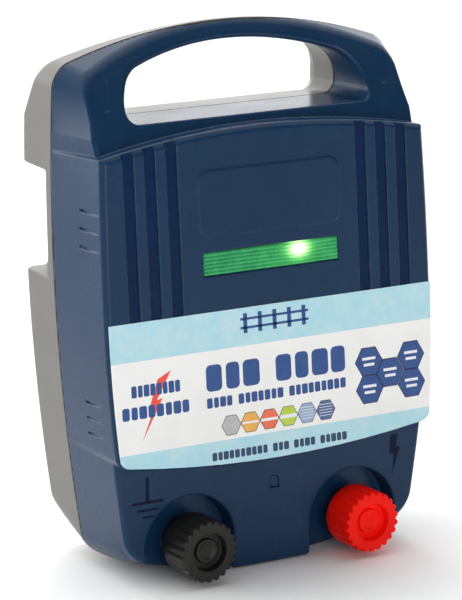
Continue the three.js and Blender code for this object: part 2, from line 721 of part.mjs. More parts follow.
// A band that follows the inside of the case's outline below the hand window.
function sealRing({ outer, inner }, y0, y1) {
  const filled = (inset) => {
    const points = caseOutline({
      side: inset,
      top: inset,
      bottom: inset,
      topCorner: TOP_CORNER - inset,
      bottomCorner: BOTTOM_CORNER - inset,
    });
    const ceiling = WINDOW_FLOOR_Z - 1 - (inset - SEAL_GROOVE.outer);
    return toSolid(loft([ringAt(points, y1), ringAt(points, y0)])).intersect(slab(-50, 50, -5, ceiling));
  };
  return toGeometry(filled(outer).subtract(filled(inner)));
}

// The bar that shows in the window, with a flange behind the apron's wall that holds it in.
function statusLens() {
  const height = LENS.top - LENS.bottom;
  const seat = WALL + CLEARANCE + 0.2;
  const bar = box(-LENS.half, LENS.half, 0.3, seat + 1, -height, 0);
  const flange = box(-LENS.half - LENS.sill, LENS.half + LENS.sill, seat, seat + 1.4,
    -height - LENS.sill, LENS.sill);
  return toGeometry(joined([bar, flange].map((part) => toSolid(onApron(part, LENS.top)))));
}

function label() {
  const y0 = LABEL_RECESS - CLEARANCE - LABEL_THICK;
  return onApron(plateXZ(labelOutline(0), y0, y0 + LABEL_THICK), LABEL_TOP_Z);
}

// ---------- terminals ----------

function stud(x) {
  return turned(x, TERMINAL_Z, [
    [0, STUD_TIP_Y], [STUD_RADIUS - 0.8, STUD_TIP_Y], [STUD_RADIUS, STUD_TIP_Y + 0.8],
    [STUD_RADIUS, COLLAR_FACE_Y], [9, COLLAR_FACE_Y], [9, -42.3], [STUD_RADIUS, -42.3],
    [STUD_RADIUS, -24], [0, -24],
  ]);
}

function hexPlate(x, z, acrossFlats, hole, y0, y1) {
  const radius = acrossFlats / Math.sqrt(3);
  const shape = new THREE.Shape(Array.from({ length: 6 }, (_, i) => new THREE.Vector2(
    x + radius * Math.cos((i * Math.PI) / 3), z + radius * Math.sin((i * Math.PI) / 3))));
  if (hole > 0) {
    const bore = new THREE.Path();
    bore.absarc(x, z, hole, 0, 2 * Math.PI, true);
    shape.holes.push(bore);
  }
  return plateXZ(shape, y0, y1, 12);
}

function ringPlate(x, z, outer, inner, y0, y1, segments = 24) {
  return turned(x, z, [[inner, y0], [outer, y0], [outer, y1], [inner, y1], [inner, y0]], segments);
}

// The knob's outer skin: ribs that are strong at the front and fade towards the back.
function knobSkin(x) {
  const stations = [
    [KNOB_BACK_Y, 13.6, 0],
    [KNOB_BACK_Y - 0.8, 15.2, 0],
    [KNOB_BACK_Y - 2.6, 16.2, 0],
    [KNOB_BACK_Y - 6, KNOB_RADIUS - 0.1, 0.1],
    [KNOB_FRONT_Y + 9, KNOB_RADIUS, 0.5],
    [KNOB_FRONT_Y + 1, KNOB_RADIUS, 1.3],
    [KNOB_FRONT_Y, KNOB_RADIUS - 0.7, 1.3],
  ];
  const count = KNOB_RIBS * 2;
  return loft(stations.map(([y, radius, rib]) => Array.from({ length: count }, (_, i) => {
    const angle = (i * 2 * Math.PI) / count;
    const r = radius - (i % 2) * rib;
    return new THREE.Vector3(x + r * Math.cos(angle), y, TERMINAL_Z + r * Math.sin(angle));
  })));
}

const INSERT_FLATS = 13;
const INSERT_FRONT_Y = -59.5;

function knob(x) {
  const skin = toSolid(knobSkin(x));
  const recess = toSolid(barrel(x, TERMINAL_Z, 10, KNOB_FRONT_Y - 5, -64.5, 24));
  const groove = toSolid(ringPlate(x, TERMINAL_Z, 9, 6, -65, -63.6));
  const pocket = toSolid(hexPlate(x, TERMINAL_Z, INSERT_FLATS + 2 * CLEARANCE, 0,
    INSERT_FRONT_Y - CLEARANCE, KNOB_BACK_Y + 5));
  const tip = toSolid(barrel(x, TERMINAL_Z, 4.8, -61.5, -50, 20));
  return toGeometry(without(skin, [recess, groove, pocket, tip]));
}

function knobInsert(x) {
  return hexPlate(x, TERMINAL_Z, INSERT_FLATS, STUD_RADIUS + 0.25, INSERT_FRONT_Y, KNOB_BACK_Y - 0.4);
}

// ---------- electronics ----------

// A round lead that follows a smooth curve through the given points.
function lead(points, radius = 1.4) {
  const path = new THREE.CatmullRomCurve3(points.map(([x, y, z]) => new THREE.Vector3(x, y, z)));
  const section = new THREE.Shape(Array.from({ length: 8 }, (_, i) => new THREE.Vector2(
    radius * Math.cos((i * Math.PI) / 4), radius * Math.sin((i * Math.PI) / 4))));
  return new THREE.ExtrudeGeometry(section, { steps: 18, bevelEnabled: false, extrudePath: path });
}

function mainBoard() {
  const board = toSolid(box(-BOARD.half, BOARD.half, BOARD.front, BOARD.back, BOARD.bottom, BOARD.top));
  const holes = BOARD_HOLES.map(([x, z]) => toSolid(barrel(x, z, BOARD.hole, 0, 20, 12)));
  return toGeometry(without(board, holes));
}

function boardScrew([x, z]) {
  const seat = BOARD.front - CLEARANCE;
  return turned(x, z, [[0, seat - 2.8], [2.9, seat - 2.8], [2.9, seat], [1.5, seat], [1.5, 16], [0, 16]], 12);
}

function standoff([x, z]) {
  return ringPlate(x, z, 3.4, 1.8, BOARD.back + CLEARANCE, BACK_Y - WALL - 0.5, 12);
}

const CORE = { half: 31, bottom: 8, top: 60, stack: 14, leg: 9, limb: 9 };
const COIL_HALF_DEPTH = 22;

// Laminated core: a frame round two windows, with the coil on its middle leg.
function transformerCore() {
  const block = toSolid(box(-CORE.half, CORE.half, -CORE.stack, CORE.stack, CORE.bottom, CORE.top));
  const windows = bothSides((side) => sidedBox(side, CORE.leg, CORE.half - CORE.limb,
    -FAR, FAR, CORE.bottom + CORE.limb, CORE.top - CORE.limb));
  return toGeometry(without(block, windows));
}

function transformerCoil() {
  const half = CORE.half - CORE.limb - CLEARANCE;
  const outer = toSolid(box(-half, half, -COIL_HALF_DEPTH, COIL_HALF_DEPTH,
    CORE.bottom + CORE.limb + CLEARANCE, CORE.top - CORE.limb - CLEARANCE));
  const leg = toSolid(box(-CORE.leg - CLEARANCE, CORE.leg + CLEARANCE,
    -CORE.stack - CLEARANCE, CORE.stack + CLEARANCE, CORE.bottom, CORE.top));
  return toGeometry(outer.subtract(leg));
}

// A solid of revolution about a vertical axis through (x, y). The profile lists [radius, z] pairs.
function turnedUp(x, y, profile, segments = 24) {
  const geometry = new THREE.LatheGeometry(profile.map(([r, z]) => new THREE.Vector2(r, z)), segments);
  geometry.rotateX(Math.PI / 2);
  geometry.translate(x, y, 0);
  return geometry;
}

const CAPACITOR = { x: 44, y: -13, radius: 17, bottom: 80, top: 133 };
const CAPACITOR_BAND = { bottom: 104, top: 109, inner: 17.4, outer: 18.6, tongue: 4 };

function capacitor(x) {
  const { y, radius, bottom, top } = CAPACITOR;
  return turnedUp(x, y, [[0, bottom], [radius - 1, bottom], [radius, bottom + 1], [radius, top - 1],
    [radius - 1, top], [radius - 3, top], [radius - 3.6, top - 0.8], [0, top - 0.8]]);
}

// A band round the capacitor, with a tongue that reaches back to the board.
function capacitorBand(x) {
  const { bottom, top, inner, outer, tongue } = CAPACITOR_BAND;
  const ring = turnedUp(x, CAPACITOR.y,
    [[inner, bottom], [outer, bottom], [outer, top], [inner, top], [inner, bottom]]);
  const start = CAPACITOR.y + outer - 1;
  const arm = box(x - tongue, x + tongue, start, BOARD.front - CLEARANCE, bottom, top);
  return toGeometry(joined([ring, arm].map(toSolid)));
}

const SINK = { half: 22, bottom: 112, top: 148, plate: 3, fin: 1, reach: -14 };

function heatSink() {
  const { half, bottom, top, plate, fin, reach } = SINK;
  const base = box(-half, half, 0, plate, bottom, top);
  const fins = [-20, -12, -4, 4, 12, 20].map((x) => box(x - fin, x + fin, reach, 1, bottom, top));
  const foot = box(-half, half, plate - 1, BOARD.front - CLEARANCE, bottom, bottom + plate);
  return toGeometry(joined([base, foot, ...fins].map(toSolid)));
}

const LED_BOARD_OFFSET = 13;

function indicatorBoard() {
  return onApron(box(-46, 46, LED_BOARD_OFFSET, LED_BOARD_OFFSET + 1.6, -13, 13), (LENS.top + LENS.bottom) / 2);
}

function led(x) {
  const seat = LED_BOARD_OFFSET - CLEARANCE;
  const profile = [[0, 6], [1.5, 6.4], [2.3, 7.6], [2.5, 9], [2.5, 12], [2.9, 12], [2.9, seat], [0, seat]];
  return onApron(turned(x, 0, profile, 16), (LENS.top + LENS.bottom) / 2);
}

function inletSocket() {
  const seat = BACK_Y - INLET.pocket + CLEARANCE;
  return turned(INLET.x, INLET.z, [
    [0, 24], [INLET.hole, 24], [INLET.hole, seat], [8.4, seat], [8.4, seat + 1.6], [3.1, seat + 1.6],
    [3.1, 28], [1, 28], [1, seat], [0, seat],
  ], 20);
}

// ---------- assembly ----------

const energiser = new THREE.Group();

function add(name, geometry, color, roughness, metalness = 0, extra = {}) {
  const shown = geometry.isBufferGeometry ? geometry : toGeometry(geometry);
  const mesh = new THREE.Mesh(shown, new THREE.MeshStandardMaterial({ color, roughness, metalness, ...extra }));
  mesh.name = name;
  energiser.add(mesh);
}

const NAVY = 0x22395a;
const WARM_GREY = 0x86837e;
const BRASS = 0xb08d4a;
const ZINC = 0xb9bcc0;
const DARK = 0x1b1c1e;

add('front_shell', frontShell(), NAVY, 0.35);
add('rear_shell', rearShell(), WARM_GREY, 0.45);
add('case_gasket', sealRing(SEAL, PARTING_Y - SEAL.half, PARTING_Y + SEAL.half), DARK, 0.8);
add('front_label', label(), 0xe8f1f4, 0.3);
add('status_lens', statusLens(), 0x1fa055, 0.2, 0, { transparent: true, opacity: 0.8 });

for (const [name, x, color] of [['pulse_led', 18, 0x9cf28a], ['low_battery_led', -18, 0xd8402a]]) {
  add(name, led(x), color, 0.25);
}
add('indicator_board', indicatorBoard(), 0x1d5a33, 0.5);

for (const [side, x, color] of [['earth', -TERMINAL_X, DARK], ['fence', TERMINAL_X, 0xf0130a]]) {
  add(`${side}_stud`, stud(x), BRASS, 0.35, 0.9);
  add(`${side}_stud_nut`, hexPlate(x, TERMINAL_Z, 13, STUD_RADIUS + CLEARANCE, -34.2, -28.6), BRASS, 0.35, 0.9);
  add(`${side}_clamp_washer`,
    ringPlate(x, TERMINAL_Z, 9, STUD_RADIUS + CLEARANCE, WASHER_BACK_Y - 1.2, WASHER_BACK_Y), ZINC, 0.3, 0.9);
  add(`${side}_knob`, knob(x), color, 0.4);
  add(`${side}_knob_insert`, knobInsert(x), BRASS, 0.35, 0.9);
}

function caseScrew(x, z) {
  const tip = SCREW_SEAT_Y - SCREW_LENGTH;
  const seat = SCREW_SEAT_Y + CLEARANCE;
  return turned(x, z, [[0, tip], [SCREW.shank, tip + 2], [SCREW.shank, seat], [SCREW.head, seat],
    [SCREW.head, seat + 2.3], [0, seat + 2.9]], 12);
}

CASE_SCREWS.forEach(([x, z], row) => {
  const height = ['lower', 'middle', 'upper'][row];
  add(`case_screw_${height}_left`, caseScrew(-x, z), ZINC, 0.35, 0.9);
  add(`case_screw_${height}_right`, caseScrew(x, z), ZINC, 0.35, 0.9);
});

add('main_board', mainBoard(), 0x1d5a33, 0.5);
BOARD_HOLES.forEach((place, i) => {
  add(`board_screw_${i + 1}`, boardScrew(place), ZINC, 0.35, 0.9);
  add(`board_standoff_${i + 1}`, standoff(place), WARM_GREY, 0.5);
});
add('transformer_core', transformerCore(), 0x4a4d52, 0.5, 0.7);
add('transformer_coil', transformerCoil(), 0xc08a3c, 0.45);
for (const [side, x] of [['left', -CAPACITOR.x], ['right', CAPACITOR.x]]) {
  add(`storage_capacitor_${side}`, capacitor(x), 0x26303f, 0.35);
  add(`capacitor_band_${side}`, capacitorBand(x), DARK, 0.6);
}
add('heat_sink', heatSink(), ZINC, 0.4, 0.9);
add('inlet_socket', inletSocket(), DARK, 0.5);
add('inlet_nut', hexPlate(INLET.x, INLET.z, 16, INLET.hole + CLEARANCE,
  BACK_Y - INLET.bossDepth - 3.8, BACK_Y - INLET.bossDepth - CLEARANCE), ZINC, 0.35, 0.9);
const outputRoute = (side) => [[side * 14, -23.8, 46], [side * 26, -28, 44], [side * 44, -25, 34],
  [side * TERMINAL_X, -21, 20]];
add('earth_lead', lead(outputRoute(-1)), DARK, 0.6);
add('fence_lead', lead(outputRoute(1)), 0xc02018, 0.6);
add('inlet_lead', lead([[0, 22.2, 78], [5, 19, 81], [14, 17, 88], [22, 15, 94], [26, 11.6, 100]]), DARK, 0.6);

export default energiser;
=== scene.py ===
"""Looks for a portable electric-fence energiser: case, printed label, lit window, knobs and fittings.

The case shells are implicit solids: a field says about how far a point is outside the plastic, in
millimetres. A surface net turns the field into a mesh, and the mesh is scaled to metres.
"""

import json
import math
from itertools import product

import bpy
import numpy as np
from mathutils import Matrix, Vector


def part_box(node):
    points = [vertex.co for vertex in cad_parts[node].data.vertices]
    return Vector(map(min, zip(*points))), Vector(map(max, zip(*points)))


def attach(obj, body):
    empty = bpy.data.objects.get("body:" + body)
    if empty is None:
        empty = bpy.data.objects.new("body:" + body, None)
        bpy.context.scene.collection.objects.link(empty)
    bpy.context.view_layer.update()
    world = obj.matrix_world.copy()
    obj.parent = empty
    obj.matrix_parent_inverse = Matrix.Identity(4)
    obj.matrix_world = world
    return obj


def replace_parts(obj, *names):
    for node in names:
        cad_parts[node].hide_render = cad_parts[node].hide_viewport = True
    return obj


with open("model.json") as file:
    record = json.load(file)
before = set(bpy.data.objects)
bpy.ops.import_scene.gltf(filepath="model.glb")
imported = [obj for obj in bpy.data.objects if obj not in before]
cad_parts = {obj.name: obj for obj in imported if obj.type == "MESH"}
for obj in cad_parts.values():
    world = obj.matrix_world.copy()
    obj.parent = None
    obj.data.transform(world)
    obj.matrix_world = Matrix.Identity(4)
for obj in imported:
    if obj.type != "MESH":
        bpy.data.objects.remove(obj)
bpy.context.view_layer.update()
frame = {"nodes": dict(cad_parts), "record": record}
MM = 0.001


# ---------- dimensions, in millimetres ----------

def box_mm(node):
    """Lowest and highest corner of a CAD node, in millimetres."""
    low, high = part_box(node)
    return np.array(low) / MM, np.array(high) / MM


FRONT_BOX = box_mm("front_shell")
REAR_BOX = box_mm("rear_shell")
FRONT_EDGE_Y = FRONT_BOX[1][1]
REAR_EDGE_Y = REAR_BOX[0][1]
PARTING_Y = (FRONT_EDGE_Y + REAR_EDGE_Y) / 2
BACK_Y = REAR_BOX[1][1]
HEIGHT = FRONT_BOX[1][2]

WALL = 3.0
HALF_WIDTH = 104.0
WIDEST_Z = 210.0
SIDE_RADIUS = 1200.0
TOP_RADIUS = 290.0
FOOT_HALF = 14.0
BOTTOM_RADII = (170.0, 190.0, 450.0, 230.0)       # bottom bow: front, behind it, joint, back
TOP_CORNER = 9.0
BOTTOM_CORNER = 11.0

APRON_FOOT = (-56.3, 70.0)                        # y and z of a point on the apron's face
APRON_SLOPE = 0.0828
APRON_LEAN = math.atan(APRON_SLOPE)
APRON_BOTTOM_Z = 58.9
APRON_TOP_Z = 236.4
APRON_TOP_RADIUS = 500.0
APRON_BOTTOM_RADIUS = 630.0
APRON_HALF = 100.2
APRON_WIDEST_Z = 145.0
APRON_SIDE_RADII = (1930.0, 875.0)                # side bow above and below the widest height
APRON_CORNER = 6.0                                # its two bottom corners, and the label's
APRON_EDGE = 2.4
LOWER_FACE_Y = -50.2
LOWER_FACE_TOP_Z = 72.0                           # it ends here, behind the apron
LOWER_EDGE = 2.0                                  # bevel round the lower face
LOWER_CORNER = 8.0

HANDLE_BOTTOM_Z = 222.0
CREASE = (-31.6, 243.5)                           # y and z where the handle's face starts to lean back
STRIP_SLOPE = 0.28
HANDLE_SLOPE = 0.74
HANDLE_DEEP_Y = -38.0                             # plane of the front outline, ahead of the handle
HANDLE_SIDE_DRAFT = 0.2
HANDLE_TOP_DRAFT = 0.34
HANDLE_TAPER = 0.0033                             # share by which that outline narrows per millimetre up
HANDLE_TAPER_Z = 235.0

BACK_DRAFT = 0.08
BACK_CORNER = 6.0
BACK_HANDLE_SLOPE = 0.62
BACK_HANDLE_Z = 240.0
BACK_HANDLE_DRAFT = 0.06
HEEL_SLOPE = 0.25

WINDOW_FLOOR_Z = 240.4
WINDOW_HALF = 69.3
WINDOW_TOP_Z = 276.0
WINDOW_TOP_RADIUS = 190.0
WINDOW_CORNER = 12.0

NOTCH = {"inner": 85.8, "front": 8.0, "bottom": 156.2, "top": 213.7}
TERMINAL_X = 50.7
TERMINAL_Z = 19.3
BAY_BACK_Y = -37.8
BAY_HALF = 27.0
BAY_TOP_Z = 45.0
CASE_SCREWS = [(72.0, 27.0), (82.0, 112.0), (82.0, 225.0)]
SCREW_SEAT_Y = 14.0
KEYHOLE = {"x": 52.0, "z": 118.0, "head": 4.6, "slot": 2.3, "rise": 9.0, "pocket": 7.0, "lip": 3.0}
INLET = {"z": 78.0, "hole": 6.3, "boss": 13.0, "pocket": 3.0, "pocket_radius": 10.0}

LABEL_TOP_Z = 142.2
LABEL_RECESS = 0.55
LABEL_MARGIN = 1.6                                # from the apron's lower edge up to the label's
LABEL_GAP = 0.3
LABEL_BLUE = {"above": 122.2, "below": 74.2}      # heights past which the label is blue
LENS = {"half": 41.0, "bottom": 161.2, "top": 173.0}
LED_SPOT = (17.0, 169.2)                          # x and z of the lit lamp behind the window
GROOVES = (57.7, 70.5, 83.2)
GROOVE_HALF = 3.0
GROOVE_DEPTH = 1.3
PLAQUE = {"half_x": 43.0, "half_z": 17.5, "corner": 6.0, "z": 198.3, "proud": 0.7}
SLIT_ROWS = (198.0, 188.5, 179.0, 96.5, 88.0, 79.5)
SLIT = {"front": -43.0, "deepest": -25.6, "rear": -25.0, "depth": 1.6, "middle": 0.65, "half": 0.85}
DIMPLE = {"x": 0.8, "z": 45.4, "radius": 3.0, "bottom": 41.8, "depth": 1.1}    # arched, in the lower face
CREASE_X = 4.0


# ---------- distance fields ----------

def round_max(a, b, radius):
    """Both a and b: their common part, with the edge between them rounded."""
    a, b = np.broadcast_arrays(a, b)
    corner = np.hypot(np.maximum(a + radius, 0), np.maximum(b + radius, 0))
    return np.minimum(np.maximum(a, b), -radius) + corner


def round_min(a, b, radius):
    """Either a or b: their union, with the inner corner between them rounded."""
    return -round_max(-a, -b, radius)


def cut(body, tool, radius):
    return round_max(body, -tool, radius)


def bevel_max(a, b, width, radius):
    """Both a and b, with the edge bevelled and the bevel's own edges rounded."""
    return round_max(round_max(a, b, radius), (a + b + width) * math.sqrt(0.5), radius)


def slab_field(value, low, high):
    return np.maximum(low - value, value - high)


def rounded_rectangle(u, v, half_u, half_v, corner):
    return round_max(np.abs(u) - half_u, np.abs(v) - half_v, corner)


def case_half_width(z):
    return HALF_WIDTH - (z - WIDEST_Z) ** 2 / (2 * SIDE_RADIUS)


def apron_half_width(z):
    radius = np.where(z > APRON_WIDEST_Z, *APRON_SIDE_RADII)
    return APRON_HALF - (z - APRON_WIDEST_Z) ** 2 / (2 * radius)


def apron_y(z):
    return APRON_FOOT[0] + APRON_SLOPE * (z - APRON_FOOT[1])


def case_edges(x, z, bottom_radius=BOTTOM_RADII[2]):
    """Distances past the side, the top and the bottom of the case in front view."""
    across = np.abs(x)
    side = np.hypot(across - (HALF_WIDTH - SIDE_RADIUS), z - WIDEST_Z) - SIDE_RADIUS
    top = np.hypot(x, z - (HEIGHT - TOP_RADIUS)) - TOP_RADIUS
    lower = np.minimum(z - bottom_radius, 0)
    bottom = np.hypot(np.maximum(across - FOOT_HALF, 0), lower) - bottom_radius
    return side, top, bottom


def apron_frame(y, z):
    """Depth behind the apron's leaning face, and height up that face from the label's top edge."""
    sine, cosine = math.sin(APRON_LEAN), math.cos(APRON_LEAN)
    top_y = apron_y(LABEL_TOP_Z)
    depth = (y - top_y) * cosine - (z - LABEL_TOP_Z) * sine
    rise = (y - top_y) * sine + (z - LABEL_TOP_Z) * cosine
    return depth, rise


def window_field(x, z, wider, grow):
    """Negative inside the hand window."""
    half = WINDOW_HALF + wider + grow
    top = np.hypot(x, z - (WINDOW_TOP_Z - WINDOW_TOP_RADIUS)) - WINDOW_TOP_RADIUS - grow
    floor = WINDOW_FLOOR_Z - grow - z
    upper = round_max(np.abs(x) - half, top, WINDOW_CORNER)
    return round_max(upper, floor, WINDOW_CORNER * 0.6)


def bay_field(x, y, z):
    """Negative inside either terminal bay."""
    offset = np.abs(x) - TERMINAL_X
    arch = np.hypot(offset, np.maximum(z - (BAY_TOP_Z - BAY_HALF), 0)) - BAY_HALF
    return round_max(arch, y - BAY_BACK_Y, 1.2)


def post_field(x, z, centre, radius):
    """Negative inside a round post that runs along Y, one at each side of the case."""
    return np.hypot(np.abs(x) - centre[0], z - centre[1]) - radius


def lower_front(x, y, z):
    bottom_radius = np.interp(y, (LOWER_FACE_Y, -43.0, PARTING_Y), BOTTOM_RADII[:3])
    side, top, bottom = case_edges(x, z, bottom_radius)
    corner = np.interp(y, (LOWER_FACE_Y, PARTING_Y), (LOWER_CORNER, BOTTOM_CORNER))
    plan = round_max(side, bottom, corner)
    body = bevel_max(plan, LOWER_FACE_Y - y, LOWER_EDGE, 0.6)
    return np.maximum(body, z - LOWER_FACE_TOP_Z)


def apron_side(x, y, z):
    """Distance past the apron's side wall, which runs from the case's width to the apron's own."""
    start = apron_y(z) + APRON_EDGE
    share = np.clip((y - start) / (FRONT_EDGE_Y - start), 0, 1)
    return np.abs(x) - (apron_half_width(z) * (1 - share) + case_half_width(z) * share)


def apron(x, y, z):
    side = apron_side(x, y, z)
    top = z - (APRON_TOP_Z - x ** 2 / (2 * APRON_TOP_RADIUS))
    bottom = APRON_BOTTOM_Z + x ** 2 / (2 * APRON_BOTTOM_RADIUS) - z
    depth, _ = apron_frame(y, z)
    plan = round_max(round_max(side, bottom, APRON_CORNER), top, 0.9)
    return bevel_max(plan, -depth, APRON_EDGE, 0.55)


def front_handle(x, y, z):
    _, top, _ = case_edges(x, z)
    ahead = PARTING_Y - y
    reach = PARTING_Y - HANDLE_DEEP_Y
    narrow = 1 - HANDLE_TAPER * np.maximum(z - HANDLE_TAPER_Z, 0)
    front_half = (case_half_width(z) - HANDLE_SIDE_DRAFT * reach) * narrow
    half = case_half_width(z) + (front_half - case_half_width(z)) * ahead / reach
    corner = np.interp(y, (HANDLE_DEEP_Y, PARTING_Y), (5.0, TOP_CORNER))
    plan = round_max(np.abs(x) - half, top + HANDLE_TOP_DRAFT * ahead, corner)
    strip = (CREASE[0] - STRIP_SLOPE * (CREASE[1] - z) - y) / math.hypot(1, STRIP_SLOPE)
    lean = (CREASE[0] + HANDLE_SLOPE * (z - CREASE[1]) - y) / math.hypot(1, HANDLE_SLOPE)
    face = round_max(strip, lean, 9.0) + grip_recess(x, z)
    body = bevel_max(plan, face, 1.3, 0.6)
    wider = np.interp(y, (-42.0, -20.0, PARTING_Y), (8.8, 3.6, 0.0))
    opening = window_field(x, z, wider, 0)
    lip = np.interp(z, (241.0, 246.0, 262.0), (1.0, 1.8, 4.5))
    return np.maximum(cut(body, opening, lip), HANDLE_BOTTOM_Z - z)


def grip_recess(x, z):
    """How far the handle's face is sunk: a ramp on each post, deepest along a slanting inner line."""
    line_x, low, high, slant, width, depth = 80.3, 247.5, 266.0, 0.19, 6.0, 1.0
    across = np.abs(x) - line_x + slant * (z - high)
    ramp = np.clip(1 - across / width, 0, 1) * np.clip((across + 0.8) / 0.8, 0, 1)
    ends = np.clip((z - low) / 1.2, 0, 1) * np.clip((high - z) / 1.2, 0, 1)
    return depth * ramp * ends


def front_body(x, y, z):
    body = round_min(lower_front(x, y, z), apron(x, y, z), 0.7)
    body = round_min(body, front_handle(x, y, z), 0.7)
    return cut(body, bay_field(x, y, z), 1.3)


def label_field(x, y, z):
    """Negative where the label's recess lies."""
    depth, rise = apron_frame(y, z)
    bottom = APRON_BOTTOM_Z + LABEL_MARGIN + x ** 2 / (2 * APRON_BOTTOM_RADIUS) - z
    side = np.abs(x) - (apron_half_width(z) - APRON_EDGE / 2 + LABEL_GAP)
    sheet = round_max(round_max(side, bottom - LABEL_GAP, APRON_CORNER), rise - LABEL_GAP, 1.0)
    return np.maximum(sheet, depth - LABEL_RECESS)


def side_slits(x, y, z):
    """How far the slits sink the side walls: deepest near the rear end, running out forwards."""
    ends = (SLIT["front"], SLIT["deepest"], SLIT["rear"])
    deep = np.interp(y, ends, (0.0, SLIT["depth"], 0.0)) * (np.abs(x) > 80)
    offsets = [np.abs(z - row - SLIT["middle"]) for row in SLIT_ROWS]
    rows = np.stack([np.clip(1 - offset / SLIT["half"], 0, 1) for offset in offsets])
    return deep * rows.max(0)


def crease_sink(x, y, z):
    """How far the lower face is sunk by the fine crease that runs down from the dimple."""
    line = np.clip(1 - np.abs(x - CREASE_X) / 0.6, 0, 1)
    return 0.5 * line * ((z < DIMPLE["bottom"]) & (y < LOWER_FACE_Y + 2))


def front_details(body, x, y, z):
    depth, rise = apron_frame(y, z)
    plaque_rise = (PLAQUE["z"] - LABEL_TOP_Z) / math.cos(APRON_LEAN)
    plaque_size = (PLAQUE["half_x"], PLAQUE["half_z"], PLAQUE["corner"])
    plate = rounded_rectangle(x, rise - plaque_rise, *plaque_size)
    plate = round_max(plate, -depth - PLAQUE["proud"], 0.5) + (depth > 2) * 10
    body = round_min(body, plate, 0.4)
    for centre in GROOVES:
        groove = np.maximum(np.abs(np.abs(x) - centre) - GROOVE_HALF, depth - GROOVE_DEPTH)
        body = cut(body, np.maximum(groove, -rise), 0.6)
    body = body + side_slits(x, y, z)
    body = cut(body, label_field(x, y, z), 0.15)
    window_rise = [(LENS[key] - LABEL_TOP_Z) / math.cos(APRON_LEAN) for key in ("bottom", "top")]
    slot = slab_field(rise, window_rise[0] - 0.3, window_rise[1] + 0.3)
    slot = np.maximum(slot, np.abs(x) - LENS["half"] - 0.3)
    body = cut(body, np.maximum(slot, depth - 12), 0.4)
    pad = np.maximum(post_field(x, z, (TERMINAL_X, TERMINAL_Z), 11.0), slab_field(y, -42.0, -36.0))
    bore = np.maximum(post_field(x, z, (TERMINAL_X, TERMINAL_Z), 4.3), y + 20)
    body = np.minimum(body, pad)
    body = body + crease_sink(x, y, z)
    dimple = np.hypot(x - DIMPLE["x"], np.maximum(z - DIMPLE["z"], 0)) - DIMPLE["radius"]
    dimple = round_max(dimple, DIMPLE["bottom"] - z, 0.8)
    body = cut(body, np.maximum(dimple, y - LOWER_FACE_Y - DIMPLE["depth"]), 0.3)
    return np.maximum(body, -bore)


def screw_posts(x, z, radius):
    posts = [post_field(x, z, centre, radius) for centre in CASE_SCREWS]
    return np.minimum.reduce(posts)


def seal_groove(x, y, z):
    """Negative in the groove for the seal, on both sides of the joint."""
    side, top, bottom = case_edges(x, z)
    plan = round_max(round_max(side, top, TOP_CORNER), bottom, BOTTOM_CORNER)
    ring = np.maximum(slab_field(plan, -3.9, -1.5), np.abs(y - PARTING_Y) - 1.8)
    return np.maximum(ring, z - (WINDOW_FLOOR_Z - 1))


def front_shell(x, y, z):
    body = front_body(x, y, z)
    solid = front_details(body, x, y, z)
    hollow = np.maximum(body + WALL, -screw_posts(x, z, 4.6))
    solid = np.maximum(solid, -hollow)
    pilot = np.maximum(screw_posts(x, z, 2.2), -17.0 - y)
    solid = np.maximum(solid, -pilot)
    solid = np.maximum(solid, -seal_groove(x, y, z))
    return round_max(solid, y - FRONT_EDGE_Y, 0.3)


def rear_body(x, y, z):
    behind = y - PARTING_Y
    bottom_radius = np.interp(y, (PARTING_Y, BACK_Y), BOTTOM_RADII[2:])
    side, top, bottom = case_edges(x, z, bottom_radius)
    plan = round_max(side + BACK_DRAFT * behind, top + BACK_HANDLE_DRAFT * behind, TOP_CORNER)
    plan = round_max(plan, bottom + HEEL_SLOPE * behind, BOTTOM_CORNER)
    lean = (y - BACK_Y + BACK_HANDLE_SLOPE * (z - BACK_HANDLE_Z)) / math.hypot(1, BACK_HANDLE_SLOPE)
    body = round_max(plan, round_max(y - BACK_Y, lean, 4.0), BACK_CORNER)
    flare = np.interp(y, (PARTING_Y, 22.0, 28.0, 33.0, 37.0, 42.0), (0.0, 1.0, 2.6, 5.6, 9.6, 16.0))
    body = cut(body, window_field(x, z, 0, flare), 1.5)
    notch = round_max(NOTCH["inner"] - np.abs(x), NOTCH["front"] - y, 2.0)
    notch = round_max(notch, slab_field(z, NOTCH["bottom"], NOTCH["top"]), 2.0)
    return cut(body, notch, 1.2)


def keyhole_field(x, y, z):
    across = np.abs(x) - KEYHOLE["x"]
    rise = z - KEYHOLE["z"]
    head = np.hypot(across, rise) - KEYHOLE["head"]
    slot = np.maximum(np.abs(across) - KEYHOLE["slot"], slab_field(rise, 0, KEYHOLE["rise"]))
    pocket_rise = slab_field(rise, 0, KEYHOLE["rise"] + KEYHOLE["slot"])
    pocket = np.maximum(np.abs(across) - KEYHOLE["head"], pocket_rise)
    face = np.minimum(head, slot)
    behind = np.minimum(head, np.maximum(pocket, y - BACK_Y + KEYHOLE["lip"]))
    return np.maximum(np.minimum(face, behind), BACK_Y - KEYHOLE["pocket"] - y)


